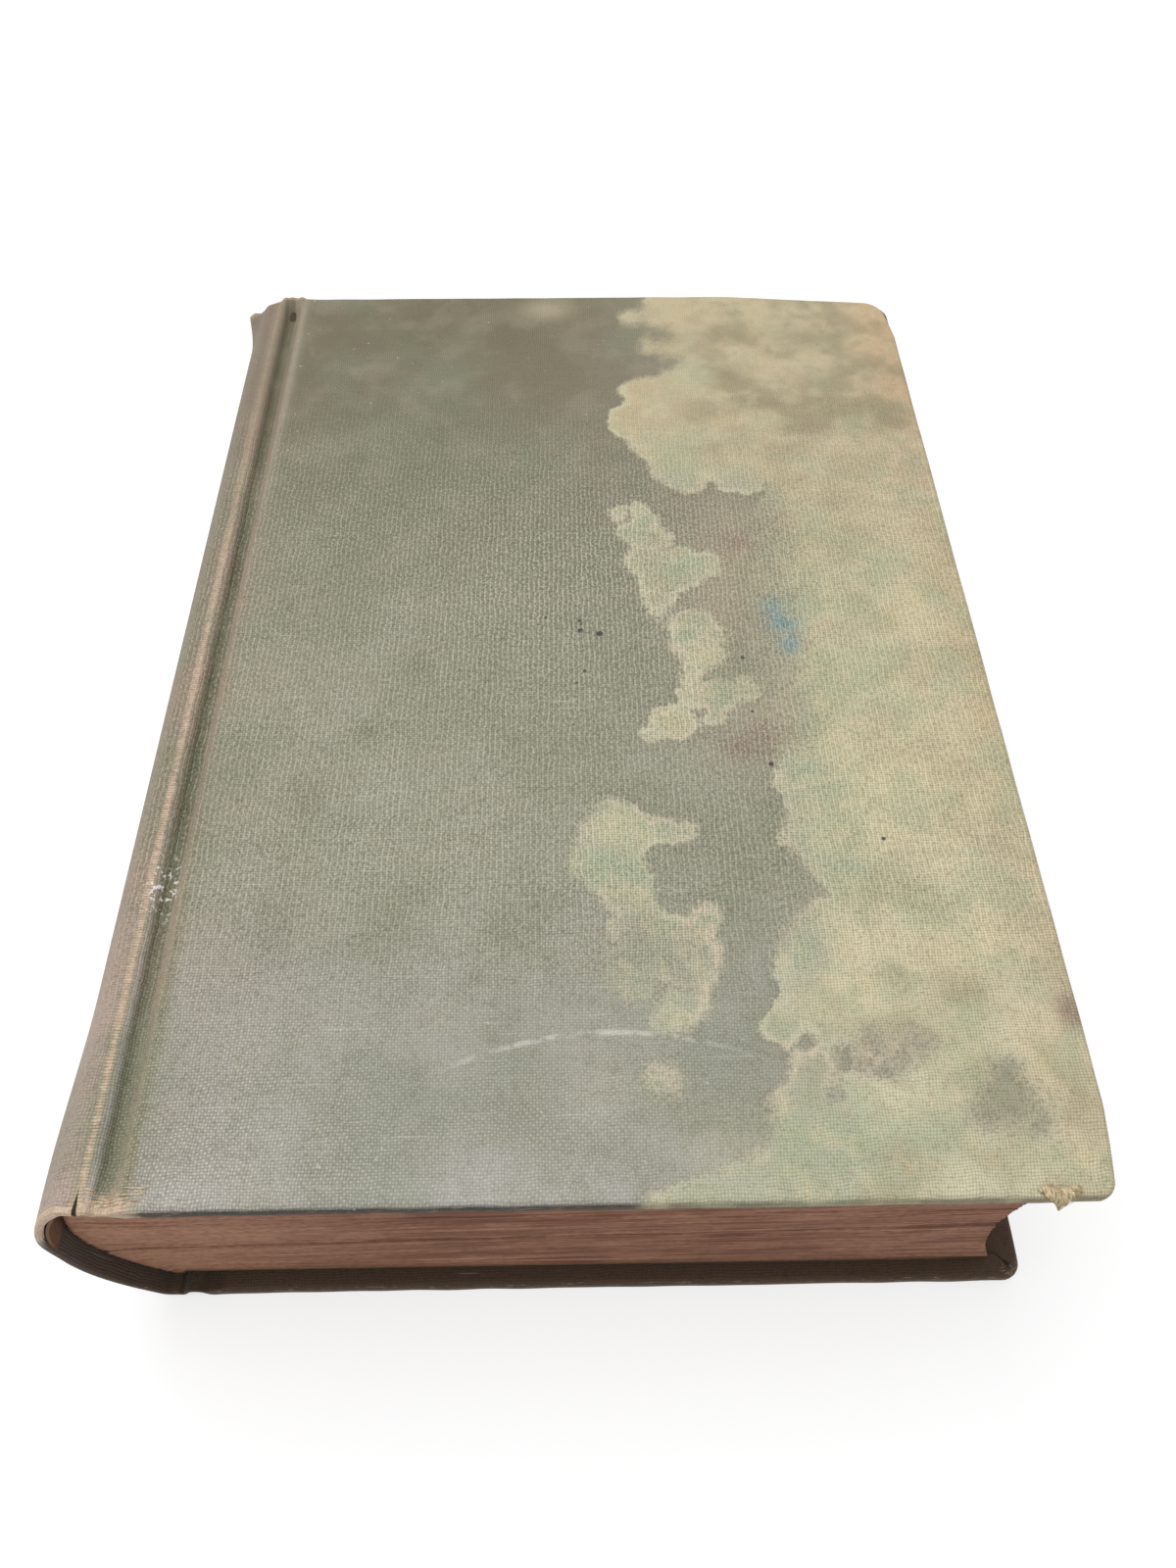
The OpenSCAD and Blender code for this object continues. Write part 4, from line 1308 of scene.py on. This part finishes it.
# Camera, in the photograph's place: 27 mm lens on a 36 mm long side.
PHOTO_LONG_SIDE = 1600
PHOTO_FOCAL = 1202
EYE = (MARKS_X + 2.9 * MM, -149.2 * MM, 214.8 * MM)
PITCH, YAW, ROLL = (math.radians(a) for a in (55.22, -1.2, 0.3))
camera = bpy.data.objects.new("camera", bpy.data.cameras.new("camera"))
camera.data.sensor_width = 36
camera.data.lens = 36 * PHOTO_FOCAL / PHOTO_LONG_SIDE
camera.data.clip_start = 0.01
camera.matrix_world = (
    Matrix.Translation(EYE) @ Matrix.Rotation(YAW, 4, "Z")
    @ Matrix.Rotation(math.pi / 2 - PITCH, 4, "X") @ Matrix.Rotation(ROLL, 4, "Z")
)
bpy.context.scene.collection.objects.link(camera)
bpy.context.scene.camera = camera


# Light and floor

def shown_white(tree, shader, white, share, end):
    """Shows white in place of the shader, by a share, to rays from the camera, from
    gloss and through glass."""
    path = tree.nodes.new("ShaderNodeLightPath")
    seen = Signal(tree, path.outputs["Is Camera Ray"])
    for name in ("Is Glossy Ray", "Is Transmission Ray"):
        seen = seen.greatest(path.outputs[name])
    mixed = tree.nodes.new("ShaderNodeMixShader")
    for socket, value in zip(mixed.inputs, (seen * share, shader.outputs[0], white.outputs[0])):
        feed(tree, socket, value)
    feed(tree, end.inputs["Surface"], mixed.outputs[0])


def white_floor():
    """A wide white floor that keeps a soft shadow."""
    reach = 3.0
    mesh = bpy.data.meshes.new("floor")
    corners = [(-reach, -reach, 0), (reach, -reach, 0), (reach, reach, 0), (-reach, reach, 0)]
    mesh.from_pydata(corners, [], [(0, 1, 2, 3)])
    floor = bpy.data.objects.new("floor", mesh)
    bpy.context.scene.collection.objects.link(floor)
    material = bpy.data.materials.new("floor")
    material.use_nodes = True
    tree = material.node_tree
    shader = tree.nodes["Principled BSDF"]
    shader.inputs["Base Color"].default_value = (0.9, 0.9, 0.9, 1)
    shader.inputs["Roughness"].default_value = 1.0
    shader.inputs["Specular IOR Level"].default_value = 0.0
    white = tree.nodes.new("ShaderNodeEmission")
    white.inputs["Strength"].default_value = 1.15
    shown_white(tree, shader, white, 0.62, tree.nodes["Material Output"])
    mesh.materials.append(material)


def studio_light():
    """An even sky, seen as white, and one large lamp over the head of the spine."""
    world = bpy.data.worlds.new("studio")
    bpy.context.scene.world = world
    world.use_nodes = True
    tree = world.node_tree
    sky = tree.nodes["Background"]
    sky.inputs["Color"].default_value = (1, 1, 1, 1)
    sky.inputs["Strength"].default_value = 0.62
    plain = tree.nodes.new("ShaderNodeBackground")
    plain.inputs["Strength"].default_value = 1.0
    shown_white(tree, sky, plain, 1.0, tree.nodes["World Output"])

    lamp = bpy.data.objects.new("lamp", bpy.data.lights.new("lamp", "AREA"))
    lamp.data.size = 1.2
    lamp.data.energy = 13
    tilt = math.radians(-16)
    lamp.matrix_world = (
        Matrix.Translation((-0.35, 0.35, 1.2)) @ Matrix.Rotation(tilt, 4, "X")
        @ Matrix.Rotation(tilt, 4, "Y")
    )
    bpy.context.scene.collection.objects.link(lamp)


white_floor()
studio_light()
bpy.context.scene.view_settings.view_transform = "Standard"
